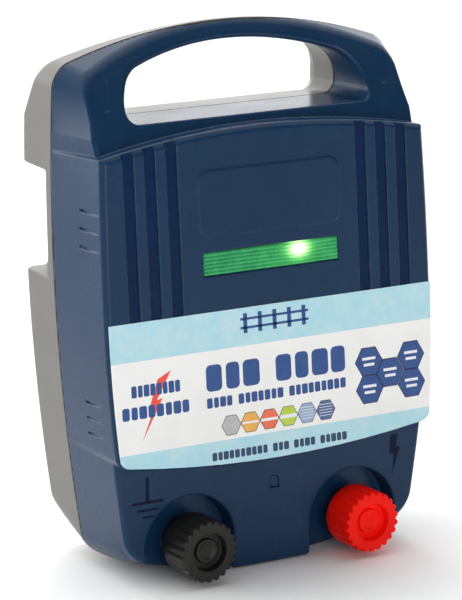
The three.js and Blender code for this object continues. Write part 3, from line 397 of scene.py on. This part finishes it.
def rear_shell(x, y, z):
    body = rear_body(x, y, z)
    boss = np.hypot(x, z - INLET["z"]) - INLET["boss"]
    boss = np.maximum(boss, BACK_Y - 8.0 - y)
    surround = rounded_rectangle(np.abs(x) - KEYHOLE["x"], z - KEYHOLE["z"] - 3.5, 8.0, 11.5, 3.0)
    surround = np.maximum(surround, BACK_Y - KEYHOLE["pocket"] - 2 - y)
    solid_inside = np.minimum(np.minimum(boss, surround), screw_posts(x, z, 6.0))
    solid = np.maximum(body, -np.maximum(body + WALL, -solid_inside))
    well = np.maximum(screw_posts(x, z, 4.3), SCREW_SEAT_Y - y)
    solid = cut(solid, well, 0.4)
    solid = np.maximum(solid, -screw_posts(x, z, 2.4))
    inlet = np.hypot(x, z - INLET["z"])
    solid = cut(solid, np.maximum(inlet - INLET["pocket_radius"], BACK_Y - INLET["pocket"] - y), 0.5)
    solid = np.maximum(solid, -np.maximum(inlet - INLET["hole"], 20.0 - y))
    solid = cut(solid, keyhole_field(x, y, z), 0.4)
    drain = np.maximum(slab_field(np.abs(x), 88.0, 98.0), slab_field(y, 9.5, 13.5))
    drain = np.maximum(drain, slab_field(z, NOTCH["bottom"] - 5, NOTCH["bottom"] + 4))
    solid = np.maximum(solid, -drain)
    for centre in (-9.0, 46.0):
        vent = np.maximum(np.abs(x - centre) - 10.5, slab_field(y, 25.6, 27.4))
        solid = np.maximum(solid, -np.maximum(vent, slab_field(z, WINDOW_FLOOR_Z - 1.6, 250.0)))
    solid = np.maximum(solid, -seal_groove(x, y, z))
    return round_max(solid, REAR_EDGE_Y - y, 0.3)


# ---------- surface nets ----------

def grid_axis(low, high, step):
    count = int(math.ceil((high - low) / step))
    return np.linspace(low, high, count + 1)


def sampled(field, axes, slab=24):
    """The field's values on a grid, worked out a few layers at a time."""
    xs, ys, zs = axes
    values = np.empty((len(xs), len(ys), len(zs)), np.float32)
    for start in range(0, len(xs), slab):
        layer = xs[start:start + slab, None, None]
        values[start:start + slab] = field(layer, ys[None, :, None], zs[None, None, :])
    return values


def surface_net(values, axes):
    """Points and quads where the values change sign: one point in each cell that the surface crosses."""
    inside = values < 0
    shape = tuple(n - 1 for n in values.shape)

    def corner(array, i, j, k):
        return array[i:i + shape[0], j:j + shape[1], k:k + shape[2]]

    filled = sum(corner(inside, *c).astype(np.int8) for c in product((0, 1), repeat=3))
    cells = np.argwhere((filled > 0) & (filled < 8))
    numbers = np.full(shape, -1, np.int32)
    numbers[tuple(cells.T)] = np.arange(len(cells))
    total = np.zeros((len(cells), 3))
    crossings = np.zeros(len(cells))
    for axis in range(3):
        others = [a for a in range(3) if a != axis]
        for offsets in product((0, 1), repeat=2):
            near = cells.copy()
            near[:, others] += offsets
            far = near.copy()
            far[:, axis] += 1
            a, b = values[tuple(near.T)], values[tuple(far.T)]
            crossed = (a < 0) != (b < 0)
            share = np.where(crossed, a / np.where(crossed, a - b, 1), 0)
            point = np.stack([axes[d][near[:, d]] for d in range(3)], 1)
            point[:, axis] += share * (axes[axis][far[:, axis]] - axes[axis][near[:, axis]])
            total += point * crossed[:, None]
            crossings += crossed
    quads = []
    for axis in range(3):
        u, v = (axis + 1) % 3, (axis + 2) % 3
        low = [slice(None)] * 3
        high = [slice(None)] * 3
        low[axis], high[axis] = slice(None, -1), slice(1, None)
        a, b = inside[tuple(low)], inside[tuple(high)]
        edges = np.argwhere(a != b)
        edges = edges[(edges[:, u] > 0) & (edges[:, v] > 0)]
        edges = edges[(edges[:, u] < shape[u]) & (edges[:, v] < shape[v])]
        leaving = a[tuple(edges.T)]
        ring = []
        for du, dv in ((1, 1), (0, 1), (0, 0), (1, 0)):
            cell = edges.copy()
            cell[:, u] -= du
            cell[:, v] -= dv
            ring.append(numbers[tuple(cell.T)])
        ring = np.stack(ring, 1)
        quads.append(np.where(leaving[:, None], ring, ring[:, ::-1]))
    return total / crossings[:, None], np.concatenate(quads)


def slope_at(points, field, tick):
    """The field's gradient at each point, by central differences."""
    x, y, z = points.T
    return np.stack([
        field(x + tick, y, z) - field(x - tick, y, z),
        field(x, y + tick, z) - field(x, y - tick, z),
        field(x, y, z + tick) - field(x, y, z - tick),
    ], 1) / (2 * tick)


def settle(points, field, steps, reach=0.6):
    """Moves points onto the field's zero surface."""
    for _ in range(steps):
        slope = slope_at(points, field, 0.02)
        square = np.maximum((slope ** 2).sum(1), 0.05)
        move = -slope * (field(*points.T) / square)[:, None]
        length = np.linalg.norm(move, axis=1, keepdims=True)
        points = points + move * np.minimum(1, reach / np.maximum(length, 1e-9))
    return points


def relaxed(points, quads, share=0.5):
    """Moves each point part of the way to its neighbours' middle, which evens out the quads."""
    total = np.zeros_like(points)
    count = np.zeros(len(points))
    for a, b in ((0, 1), (1, 2), (2, 3), (3, 0)):
        for start, end in ((a, b), (b, a)):
            for axis in range(3):
                pull = points[quads[:, end], axis]
                total[:, axis] += np.bincount(quads[:, start], pull, len(points))
            count += np.bincount(quads[:, start], minlength=len(points))
    return points + share * (total / np.maximum(count, 1)[:, None] - points)


def new_object(name, points_mm, faces, smooth=True):
    """A mesh object in metres from points in millimetres."""
    mesh = bpy.data.meshes.new(name)
    faces = faces.tolist() if isinstance(faces, np.ndarray) else faces
    mesh.from_pydata((np.asarray(points_mm) * MM).tolist(), [], faces)
    if smooth:
        mesh.polygons.foreach_set("use_smooth", [True] * len(mesh.polygons))
    obj = bpy.data.objects.new(name, mesh)
    bpy.context.scene.collection.objects.link(obj)
    return obj


def moulded(name, field, box, step):
    """A mesh of the plastic that a field describes, inside a box given in millimetres."""
    margin = 2.0
    axes = [grid_axis(box[0][d] - margin, box[1][d] + margin, step) for d in range(3)]
    points, quads = surface_net(sampled(field, axes), axes)
    points = settle(points, field, 2)
    for _ in range(2):
        points = settle(relaxed(points, quads), field, 2)
    obj = new_object(name, points, quads)
    normals = slope_at(points, field, 0.12)
    normals /= np.maximum(np.linalg.norm(normals, axis=1, keepdims=True), 1e-6)
    obj.data.normals_split_custom_set_from_vertices(normals.tolist())
    return obj


# ---------- materials ----------

def srgb(code):
    """Linear colour of a web colour code."""
    parts = [int(code[i:i + 2], 16) / 255 for i in (0, 2, 4)]
    return [c / 12.92 if c <= 0.04045 else ((c + 0.055) / 1.055) ** 2.4 for c in parts] + [1.0]


class Nodes:
    """Short names for building a material's nodes."""

    def __init__(self, name):
        self.material = bpy.data.materials.new(name)
        self.material.use_nodes = True
        self.tree = self.material.node_tree
        self.shader = self.tree.nodes["Principled BSDF"]
        self.place = self.tree.nodes.new("ShaderNodeTexCoord").outputs["Object"]

    def add(self, kind, inputs=None, **settings):
        node = self.tree.nodes.new("ShaderNode" + kind)
        for key, value in settings.items():
            setattr(node, key, value)
        for key, value in (inputs or {}).items():
            self.feed(node.inputs[key], value)
        return node

    def feed(self, socket, value):
        if isinstance(value, bpy.types.NodeSocket):
            self.tree.links.new(value, socket)
        else:
            socket.default_value = value

    def noise(self, scale, detail=3.0, roughness=0.5):
        inputs = {"Vector": self.place, "Scale": scale, "Detail": detail, "Roughness": roughness}
        return self.add("TexNoise", inputs).outputs["Fac"]

    def spread(self, value, low, high, start=0.3, end=0.7):
        inputs = {"Value": value, "From Min": start, "From Max": end, "To Min": low, "To Max": high}
        return self.add("MapRange", inputs).outputs["Result"]

    def math(self, operation, a, b=0.0):
        node = self.add("Math", operation=operation)
        self.feed(node.inputs[0], a)
        self.feed(node.inputs[1], b)
        return node.outputs[0]

    def mix(self, share, a, b):
        node = self.add("Mix", data_type="RGBA")
        self.feed(node.inputs["Factor"], share)
        self.feed(node.inputs[6], a)
        self.feed(node.inputs[7], b)
        return node.outputs[2]

    def bump(self, height, distance, strength=1.0, before=None):
        inputs = {"Height": height, "Distance": distance, "Strength": strength}
        if before is not None:
            inputs["Normal"] = before
        return self.add("Bump", inputs).outputs["Normal"]

    def set(self, **inputs):
        for key, value in inputs.items():
            self.feed(self.shader.inputs[key.replace("_", " ")], value)
        return self.material


def moulded_plastic(name, colour, shade, roughness, grain=0.00001, specular=0.5):
    """Injection-moulded plastic: slight colour drift and scuffs, a fine grain and long sink waves."""
    n = Nodes(name)
    drift = n.spread(n.noise(14.0, 4.0), 0.0, 1.0)
    scuffs = n.spread(n.noise(90.0, 6.0, 0.65), 0.0, 1.0, 0.4, 0.9)
    base = n.mix(drift, srgb(colour), srgb(shade))
    worn = n.math("MULTIPLY", scuffs, 0.02)
    tint = n.mix(worn, base, srgb("8a93a3"))
    rough = n.math("ADD", n.spread(n.noise(30.0, 3.0), roughness - 0.035, roughness + 0.035),
                   n.math("MULTIPLY", scuffs, 0.02))
    fine = n.bump(n.noise(2600.0, 2.0), grain, 0.55)
    waves = n.bump(n.noise(16.0, 1.0), 0.00025, 0.35, fine)
    return n.set(Base_Color=tint, Roughness=rough, Normal=waves, Specular_IOR_Level=specular)


def label_print():
    """Printed film: pale blue bands with a mottled print above and below a white field."""
    n = Nodes("label_print")
    height = n.add("SeparateXYZ", {"Vector": n.place}).outputs["Z"]
    white = n.mix(n.spread(n.noise(40.0, 3.0), 0, 1), srgb("f7f7f4"), srgb("f1f1ee"))
    mottle = n.spread(n.noise(95.0, 5.0, 0.7), 0, 1, 0.36, 0.66)
    blue = n.mix(mottle, srgb("a9dce9"), srgb("c3e2e8"))
    top_band = n.math("GREATER_THAN", height, LABEL_BLUE["above"] * MM)
    low_band = n.math("LESS_THAN", height, LABEL_BLUE["below"] * MM)
    share = n.math("MAXIMUM", top_band, low_band)
    rough = n.spread(n.noise(25.0, 2.0), 0.27, 0.36)
    ripple = n.bump(n.noise(30.0, 2.0), 0.00006, 0.3)
    return n.set(Base_Color=n.mix(share, white, blue), Roughness=rough, Normal=ripple)


def ink(name, colour, shade):
    n = Nodes(name)
    drift = n.spread(n.noise(220.0, 4.0), 0, 1)
    rough = n.spread(n.noise(60.0, 2.0), 0.28, 0.38)
    grain = n.bump(n.noise(1500.0, 2.0), 0.00001, 0.4)
    base = n.mix(drift, srgb(colour), srgb(shade))
    return n.set(Base_Color=base, Roughness=rough, Normal=grain)


def lens_plastic():
    """Green tinted bar, lit from behind by one lamp right of its middle."""
    n = Nodes("lens_plastic")
    parts = n.add("SeparateXYZ", {"Vector": n.place})
    along = n.math("SUBTRACT", parts.outputs["X"], LED_SPOT[0] * MM)
    up = n.math("SUBTRACT", parts.outputs["Z"], LED_SPOT[1] * MM)

    def glow(width, height):
        u = n.math("POWER", n.math("ABSOLUTE", n.math("DIVIDE", along, width * MM)), 2.0)
        v = n.math("POWER", n.math("ABSOLUTE", n.math("DIVIDE", up, height * MM)), 2.0)
        return n.math("EXPONENT", n.math("MULTIPLY", n.math("ADD", u, v), -1.0))

    mottle = n.spread(n.noise(160.0, 4.0, 0.6), 0.0, 1.0)
    rib_pitch = 1.96 * MM
    phase = n.math("MULTIPLY", parts.outputs["Z"], 2 * math.pi / rib_pitch)
    ribs = n.spread(n.math("SINE", phase), 0.5, 1.0, -1, 1)
    base = n.mix(mottle, srgb("0d8a50"), srgb("2fa464"))
    wide = glow(19.0, 30.0)
    close = glow(6.0, 4.2)
    far = glow(34.0, 40.0)
    light = n.mix(close, srgb("63e04c"), srgb("ffffd2"))
    level = n.math("ADD", n.math("MULTIPLY", wide, 0.16), n.math("MULTIPLY", close, 3.2))
    level = n.math("ADD", level, n.math("MULTIPLY", far, 0.05))
    level = n.math("MULTIPLY", n.math("ADD", level, 0.02), ribs)
    bump = n.bump(n.noise(300.0, 3.0), 0.00005, 0.4)
    return n.set(Base_Color=base, Roughness=n.spread(mottle, 0.2, 0.34, 0, 1), Normal=bump,
                 Emission_Color=light, Emission_Strength=level)


def metal(name, colour, shade, roughness):
    n = Nodes(name)
    patches = n.spread(n.noise(240.0, 5.0, 0.6), 0, 1)
    rough = n.spread(n.noise(500.0, 4.0), roughness - 0.07, roughness + 0.1)
    lines = n.bump(n.noise(1800.0, 3.0), 0.00002, 0.5)
    base = n.mix(patches, srgb(colour), srgb(shade))
    return n.set(Base_Color=base, Metallic=1.0, Roughness=rough, Normal=lines)


def board_laminate():
    n = Nodes("board_laminate")
    cells = n.add("TexVoronoi", {"Vector": n.place, "Scale": 190.0}, feature="DISTANCE_TO_EDGE")
    line = n.spread(cells.outputs["Distance"], 1.0, 0.0, 0.02, 0.06)
    base = n.mix(line, srgb("1d5a33"), srgb("2f7a48"))
    rough = n.spread(n.noise(80.0), 0.35, 0.5)
    return n.set(Base_Color=base, Roughness=rough, Normal=n.bump(line, 0.0001, 0.6))


def winding():
    n = Nodes("winding")
    inputs = {"Vector": n.place, "Scale": 260.0, "Distortion": 0.6, "Detail": 2.0}
    turns = n.add("TexWave", inputs, bands_direction="Z").outputs["Fac"]
    base = n.mix(turns, srgb("8f5a20"), srgb("cf9248"))
    rough = n.spread(n.noise(120.0), 0.32, 0.5)
    return n.set(Base_Color=base, Roughness=rough, Normal=n.bump(turns, 0.0002, 0.7))


def laminations():
    n = Nodes("laminations")
    inputs = {"Vector": n.place, "Scale": 320.0, "Distortion": 0.1}
    sheets = n.add("TexWave", inputs, bands_direction="Y").outputs["Fac"]
    base = n.mix(sheets, srgb("34373c"), srgb("666a70"))
    return n.set(Base_Color=base, Metallic=1.0, Roughness=n.spread(n.noise(90.0), 0.4, 0.6),
                 Normal=n.bump(sheets, 0.0001, 0.6))


def coloured_lamp(name, colour, shade):
    n = Nodes(name)
    drift = n.spread(n.noise(400.0), 0, 1)
    base = n.mix(drift, srgb(colour), srgb(shade))
    return n.set(Base_Color=base, Roughness=n.spread(drift, 0.12, 0.22, 0, 1))


MATERIALS = {
    "navy_shell": moulded_plastic("navy_plastic", "102f4d", "133453", 0.26, specular=0.2),
    "grey_shell": moulded_plastic("grey_plastic", "5b5854", "63605b", 0.34, 0.00002, 0.3),
    "seal_rubber": moulded_plastic("seal_rubber", "121212", "1a1a1b", 0.7, 0.00006, 0.3),
    "label_film": label_print(),
    "green_lens": lens_plastic(),
    "green_led": coloured_lamp("green_lamp", "9cf28a", "7fe070"),
    "red_led": coloured_lamp("red_lamp", "d8402a", "b83020"),
    "circuit_board": board_laminate(),
    "brass": metal("turned_brass", "b08d4a", "a07c3c", 0.3),
    "zinc_steel": metal("zinc_plate", "b9bcc0", "a4a8ae", 0.32),
    "black_plastic": moulded_plastic("black_plastic", "1a1a17", "20201c", 0.36, 0.00003, 0.3),
    "red_plastic": moulded_plastic("red_plastic", "ff1204", "ff1a08", 0.34, 0.00002, 0.12),
    "core_steel": laminations(),
    "coil_wire": winding(),
    "capacitor_sleeve": moulded_plastic("capacitor_sleeve", "26303f", "2c3748", 0.3),
    "heat_sink_alloy": metal("heat_sink_alloy", "b9bcc0", "a9adb2", 0.38),
    "black_insulation": moulded_plastic("black_insulation", "1b1c1e", "222325", 0.5),
    "red_insulation": moulded_plastic("red_insulation", "c02018", "b01c15", 0.5),
}


def paint(obj, material):
    obj.data.materials.clear()
    obj.data.materials.append(material)
    return obj


def fitted(obj, slot, body="case", material=None):
    """Gives a new piece its finish and the body it rides on."""
    paint(obj, material or MATERIALS[slot])
    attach(obj, body)
    return obj


# ---------- case shells ----------

def make_shells():
    step = 0.8
    front = moulded("front_casing", front_shell, FRONT_BOX, step)
    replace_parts(fitted(front, "navy_shell"), "front_shell")
    rear = moulded("rear_casing", rear_shell, REAR_BOX, step)
    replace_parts(fitted(rear, "grey_shell"), "rear_shell")


# ---------- turned and ribbed pieces ----------

def revolved(name, centre, stations, count, shift=None):
    """A turned solid about an axis along Y, through (radius, y) stations. shift adds to a radius."""
    points, faces = [], []
    angles = [2 * math.pi * i / count for i in range(count)]
    for radius, y in stations:
        for angle in angles:
            r = radius + (shift(radius, y, angle) if shift else 0.0)
            points.append((centre[0] + r * math.cos(angle), y, centre[1] + r * math.sin(angle)))
    for ring, i in product(range(len(stations) - 1), range(count)):
        a, b = ring * count + i, ring * count + (i + 1) % count
        faces.append((a, b, b + count, a + count))
    last = (len(stations) - 1) * count
    faces.append(tuple(range(count))[::-1])
    faces.append(tuple(last + i for i in range(count)))
    return new_object(name, points, faces)


def arc(centre, radius, start, end, steps=6):
    """Points of an arc in a flat plane; angles are in degrees."""
    angles = [math.radians(start + (end - start) * i / steps) for i in range(steps + 1)]
    return [(centre[0] + radius * math.cos(a), centre[1] + radius * math.sin(a)) for a in angles]


def knob_profile(back, front, radius):
    """From the hole behind the insert, round the back, along the side and into the front recess."""
    steps = 22
    side = [(radius, back - 4 - i * (back - front - 5) / steps) for i in range(steps + 1)]
    hole = [(0.05, back - 14.0), (4.8, back - 14.0), (4.8, back - 12.3), (8.3, back - 12.3)]
    rear = [(8.3, back), *arc((radius - 3.2, back - 3.2), 3.2, 90, 0, 8)]
    rim = [*arc((radius - 1.0, front + 1.0), 1.0, 0, -90), *arc((10.8, front + 0.6), 0.6, -90, -180)]
    floor = [*arc((9.6, front + 4.8), 0.6, 0, 90), *arc((7.0, front + 4.8), 0.6, 90, 180)]
    hub = [*arc((5.9, front + 3.6), 0.5, 0, -90), (4.3, front + 3.1), (4.0, front + 3.4)]
    hub.append((1.3, front + 3.4))
    pip = [(1.0, front + 3.2), (0.5, front + 3.9), (0.05, front + 4.1)]
    return hole + rear + side + rim + floor + hub + pip


def make_knob(terminal, body, x):
    low, high = box_mm(f"{terminal}_knob")
    front, back = low[1], high[1]
    radius = (high[0] - low[0]) / 2
    ribs, rib_depth, rib_zone = 22, 1.5, 3.0

    def rib(r, y, angle):
        if r < radius - rib_zone:
            return 0.0
        strength = rib_depth * np.clip((back - 3 - y) / (back - front - 5), 0, 1) ** 1.3
        return -strength * (0.5 + 0.5 * math.cos(ribs * angle)) ** 1.6

    profile = knob_profile(back, front, radius)
    knob = revolved(f"{terminal}_grip_knob", (x, TERMINAL_Z), profile, ribs * 14, rib)
    slot = "black_plastic" if terminal == "earth" else "red_plastic"
    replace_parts(fitted(knob, slot, body), f"{terminal}_knob")


def make_stud(terminal, x):
    """A screwed stud: M8 thread on both sides of its collar."""
    low, high = box_mm(f"{terminal}_stud")
    major, pitch, thread_depth = 4.0, 1.25, 0.55
    collar, collar_radius = (-43.8, -42.3), 8.6

    def thread(r, y, angle):
        if r > major + 0.01 or r < major - 0.5:
            return 0.0
        turn = (y / pitch + angle / (2 * math.pi)) % 1.0
        return -thread_depth * min(1.0, 1.4 * abs(2 * turn - 1))

    def threaded(start, end):
        count = int((end - start) / pitch * 10)
        return [(major, start + (end - start) * i / count) for i in range(count + 1)]

    stations = [(0.05, low[1]), (3.2, low[1]), *threaded(low[1] + 0.7, collar[0] - 0.2)]
    stations += [(major, collar[0]), *arc((collar_radius, collar[0] + 0.4), 0.4, -90, 0)]
    stations += [*arc((collar_radius, collar[1] - 0.4), 0.4, 0, 90), (major, collar[1])]
    stations += [*threaded(collar[1] + 0.2, high[1] - 0.3), (3.4, high[1]), (0.05, high[1])]
    stud = revolved(f"{terminal}_screwed_stud", (x, TERMINAL_Z), stations, 40, thread)
    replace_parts(fitted(stud, "brass"), f"{terminal}_stud")


def on_apron(x, rise, depth):
    """A place on the apron's leaning face: rise is measured from the label's top edge."""
    sine, cosine = math.sin(APRON_LEAN), math.cos(APRON_LEAN)
    y = apron_y(LABEL_TOP_Z) + depth * cosine + rise * sine
    return (x, y, LABEL_TOP_Z - depth * sine + rise * cosine)


def make_lens():
    """The window bar: fine ridges run along its front, and a flange behind the wall holds it."""
    low, high = [(LENS[key] - LABEL_TOP_Z) / math.cos(APRON_LEAN) for key in ("bottom", "top")]
    ridges, samples, ridge = 6, 8, 0.35
    front = []
    for i in range(ridges * samples + 1):
        share = i / (ridges * samples)
        depth = 0.75 - ridge * abs(math.sin(math.pi * ridges * share)) ** 0.6
        front.append((low + (high - low) * share, depth))
    inner, outer, lip = 3.5, 4.9, 1.4
    back = [(high, inner), (high + lip, inner), (high + lip, outer)]
    back += [(low - lip, outer), (low - lip, inner), (low, inner)]
    profile = front + back
    ends = (-LENS["half"], LENS["half"])
    points = [on_apron(x, rise, depth) for x in ends for rise, depth in profile]
    count = len(profile)
    faces = [(i, i + count, (i + 1) % count + count, (i + 1) % count) for i in range(count)]
    faces += [tuple(range(count)), tuple(range(count, 2 * count))[::-1]]
    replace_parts(fitted(new_object("ridged_lens", points, faces, False), "green_lens"), "status_lens")


# ---------- label print and moulded marks ----------

def prism(outlines, place, front, back):
    """Points and faces of flat closed plates, from (u, v) outlines. place(u, v, depth) gives a point."""
    points, faces = [], []
    for outline in outlines:
        start, count = len(points), len(outline)
        points += [place(u, v, front) for u, v in outline] + [place(u, v, back) for u, v in outline]
        faces.append(tuple(range(start, start + count)))
        faces.append(tuple(range(start + count, start + 2 * count))[::-1])
        for i in range(count):
            a, b = start + i, start + (i + 1) % count
            faces.append((b, a, a + count, b + count))
    return points, faces


def bar(u0, u1, v0, v1):
    return [(u0, v0), (u1, v0), (u1, v1), (u0, v1)]


def rounded_bar(u0, u1, v0, v1, corner):
    left, right = u0 + corner, u1 - corner
    low, high = v0 + corner, v1 - corner
    corners = ((right, low, -90), (right, high, 0), (left, high, 90), (left, low, 180))
    return [point for u, v, start in corners for point in arc((u, v), corner, start, start + 90, 3)]


def hexagon(u, v, radius):
    angles = [math.radians(60 * i) for i in range(6)]
    return [(u + radius * math.cos(a), v + radius * math.sin(a)) for a in angles]


def block_row(u0, u1, v0, v1, words, space=0.7):
    """Plain blocks in place of a line of words: words lists how many blocks each word has."""
    slots = sum(words) + space * (len(words) - 1)
    width = (u1 - u0) / slots
    blocks, u = [], u0
    for word in words:
        for i in range(word):
            inset = (0.08, 0.14, 0.05, 0.11)[i % 4] * width
            blocks.append(rounded_bar(u + inset, u + width - inset, v0, v1, 0.22 * width))
            u += width
        u += space * width
    return blocks


def printed(name, outlines, layer, material):
    """Ink on the label, in thin layers so that each one lies over the last."""
    surface, film, foot = -0.15, 0.04, 0.05
    points, faces = prism(outlines, on_apron, surface - film * (layer + 1), surface + foot)
    return fitted(new_object(name, points, faces, False), "label_film", material=material)


def make_label_print():
    """Plain shapes in the label's layout. Places are x and the height above the label's top edge."""
    navy = ink("navy_ink", "1d4687", "23508f")
    deep = ink("deep_ink", "173a5e", "1b4268")
    white = ink("white_ink", "f3f4f5", "e9edf2")
    rim = ink("rim_ink", "141f38", "1c2a47")
    flash = [(-63.8, -27), (-72, -30.8), (-77.6, -45.4), (-74.4, -44.4), (-82.4, -62), (-69.4, -40.8),
             (-72.9, -41.6)]
    printed("label_flash", [flash], 0, ink("red_ink", "ee4a35", "f25a44"))
    title = block_row(-44, 44, -41.6, -27.6, (3, 4), 0.75)
    below = block_row(-43.5, 43, -50.4, -45.0, (4, 7, 9), 0.8)
    names = block_row(-88, -58.5, -38.8, -32.6, (8,)) + block_row(-94, -53.4, -50.2, -43.6, (8,))
    printed("label_bars", title + below + names, 1, navy)
    lower = block_row(-41.6, 42.4, -78.6, -74.2, (10, 3, 4, 5), 0.8)
    printed("label_lower_bars", lower, 0, deep)
    posts = [bar(u - 1.2, u + 1.2, -13.5, -3.0) for u in (-18, -9, 0, 9, 18)]
    printed("label_fence_icon", posts + [bar(-21, 21, v, v + 1.3) for v in (-11.3, -6.6)], 0, navy)

    small = [(-29.0 + 11.7 * i, -60.9) for i in range(6)]
    large = [(57.9, -38.6), (57.9, -53.6), (71.2, -46.1), (84.8, -38.6), (84.8, -53.6)]
    small_radius, large_radius, small_rim, large_rim = 5.7, 8.3, 6.1, 8.9
    outlines = [hexagon(u, v, small_rim) for u, v in small]
    outlines += [hexagon(u, v, large_rim) for u, v in large]
    printed("label_badge_rims", outlines, 0, rim)
    tones = [("b4b4b2", "c3c3c1"), ("f0ab48", "f5b85c"), ("ee6748", "f37a5c"), ("b5cf38", "c3d950"),
             ("8ea8c8", "9db5d2"), ("45608e", "526e9c")]
    for i, ((u, v), (tone, lighter)) in enumerate(zip(small, tones)):
        badge = ink(f"badge_ink_{i + 1}", tone, lighter)
        printed(f"label_small_badge_{i + 1}", [hexagon(u, v, small_radius)], 1, badge)
    printed("label_large_badges", [hexagon(u, v, large_radius) for u, v in large], 1, navy)
    marks = []
    for (u, v), (row, half) in product(large, ((0.9, 4.2), (-2.4, 3.4))):
        marks.append(bar(u - half, u + half, v + row, v + row + 1.5))
    for i in range(1, 4):
        u = small[i][0]
        marks.append(bar(u - 5.2, u + 5.2, -61.3 - i * 0.2, -60.6 + i * 0.2))
    for i, row in product((4, 5), (-3, -1.5, 0, 1.5, 3)):
        u = small[i][0]
        marks.append(bar(u - 4.0, u + 4.0, -60.9 + row, -60.6 + row))
    printed("label_badge_marks", marks, 2, white)


def make_marks():
    """Darker marks on the lower face: an earth sign by one terminal and a flash by the other."""
    earth = [bar(-77.8, -75.8, 46.0, 59.0), bar(-85.8, -67.2, 44.6, 46.2), bar(-82.9, -69.9, 40.7, 41.9),
             bar(-79.6, -73.0, 36.9, 38.1)]
    flash = [(74.5, 60), (79.5, 60), (78.2, 52.5), (81, 52.5), (76.2, 38.5), (77, 49), (74.2, 49)]
    dark = moulded_plastic("mark_navy", "030f28", "05132e", 0.3, specular=0.1)

    def on_face(x, z, depth):
        return (x, LOWER_FACE_Y + depth, z)

    for name, outlines in (("earth_mark", earth), ("fence_mark", [flash])):
        points, faces = prism(outlines, on_face, -0.06, 0.3)
        fitted(new_object(name, points, faces, False), "navy_shell", material=dark)


def make_groove_painted_shade():
    """Painted shade: darker strips on the floors of the apron's grooves, standing in for the shade that
    falls in them.
    """
    # painted shade: this darker navy stands in for the shade in the grooves, not for a colour of the
    # plastic
    dark = moulded_plastic("groove_painted_shade", "001c40", "022147", 0.3, specular=0.12)
    strips = []
    for side, centre in product((-1, 1), GROOVES):
        top_z = APRON_TOP_Z - 1.2 - centre ** 2 / (2 * APRON_TOP_RADIUS)
        top = (top_z - LABEL_TOP_Z) / math.cos(APRON_LEAN)
        half = GROOVE_HALF - 0.1
        strips.append(bar(side * centre - half, side * centre + half, 0.4, top))
    points, faces = prism(strips, on_apron, GROOVE_DEPTH - 0.45, GROOVE_DEPTH + 0.6)
    # thin plates on the groove floors that carry the painted shade
    fitted(new_object("groove_floor_painted_shade", points, faces, False), "navy_shell", material=dark)


# ---------- camera, lights and floor ----------

def make_camera():
    azimuth, elevation = math.radians(-31.227), math.radians(13.453)
    target = Vector((0.00433, 0.0, 0.133179))
    distance = 1.7948
    back = Vector((
        math.sin(azimuth) * math.cos(elevation),
        -math.cos(azimuth) * math.cos(elevation),
        math.sin(elevation),
    ))
    data = bpy.data.cameras.new("photo_camera")
    data.lens = 200.39
    data.sensor_width = 36.0
    camera = bpy.data.objects.new("photo_camera", data)
    camera.location = target + back * distance
    camera.rotation_mode = "QUATERNION"
    camera.rotation_quaternion = (-back).to_track_quat("-Z", "Y")
    bpy.context.scene.collection.objects.link(camera)
    bpy.context.scene.camera = camera


def soft_light(name, place, aim, size, power):
    data = bpy.data.lights.new(name, "AREA")
    data.shape = "RECTANGLE"
    data.size, data.size_y = size
    data.energy = power
    lamp = bpy.data.objects.new(name, data)
    lamp.location = place
    lamp.rotation_mode = "QUATERNION"
    lamp.rotation_quaternion = (Vector(aim) - Vector(place)).to_track_quat("-Z", "Y")
    bpy.context.scene.collection.objects.link(lamp)


def make_studio():
    world = bpy.data.worlds.new("studio")
    world.use_nodes = True
    bpy.context.scene.world = world
    tree = world.node_tree
    background = tree.nodes["Background"]
    direction = tree.nodes.new("ShaderNodeTexCoord").outputs["Generated"]
    towards = tree.nodes.new("ShaderNodeVectorMath")
    towards.operation = "DOT_PRODUCT"
    towards.inputs[1].default_value = (0.0, 0.8, 0.6)
    tree.links.new(direction, towards.inputs[0])
    ramp = tree.nodes.new("ShaderNodeMapRange")
    ramp.interpolation_type = "SMOOTHSTEP"
    for key, value in {"From Min": 0.1, "From Max": 0.85, "To Min": 0.12, "To Max": 2.3}.items():
        ramp.inputs[key].default_value = value
    tree.links.new(towards.outputs["Value"], ramp.inputs["Value"])
    tree.links.new(ramp.outputs["Result"], background.inputs["Strength"])
    background.inputs["Color"].default_value = (1.0, 1.0, 1.0, 1.0)

    soft_light("front_softbox", (-0.5, -1.9, 0.5), (0, 0, 0.1), (1.2, 1.0), 12.5)
    soft_light("left_softbox", (-1.5, 1.3, 0.45), (0, 0, 0.14), (1.3, 1.0), 14.0)
    soft_light("top_softbox", (0.1, 0.9, 1.6), (0, 0, 0.1), (1.4, 1.0), 7.0)

    bpy.ops.mesh.primitive_plane_add(size=24.0)
    floor = bpy.context.object
    floor.name = "studio_floor"
    n = Nodes("pale_floor")
    paint(floor, n.set(Base_Color=n.mix(n.noise(3.0), srgb("f4f4f4"), srgb("f7f7f7")), Roughness=0.9))
    bpy.context.scene.view_settings.view_transform = "Standard"


def paint_frame():
    """Gives every CAD node the material of its slot in the record."""
    for row in frame["record"]["subparts"]:
        paint(frame["nodes"][row["node"]], MATERIALS[row["material_slot"]])


make_camera()
make_studio()
paint_frame()
make_shells()
for terminal, sign in (("earth", -1), ("fence", 1)):
    make_knob(terminal, f"{terminal}_thumb_nut", sign * TERMINAL_X)
    make_stud(terminal, sign * TERMINAL_X)
make_lens()
make_label_print()
make_marks()
make_groove_painted_shade()
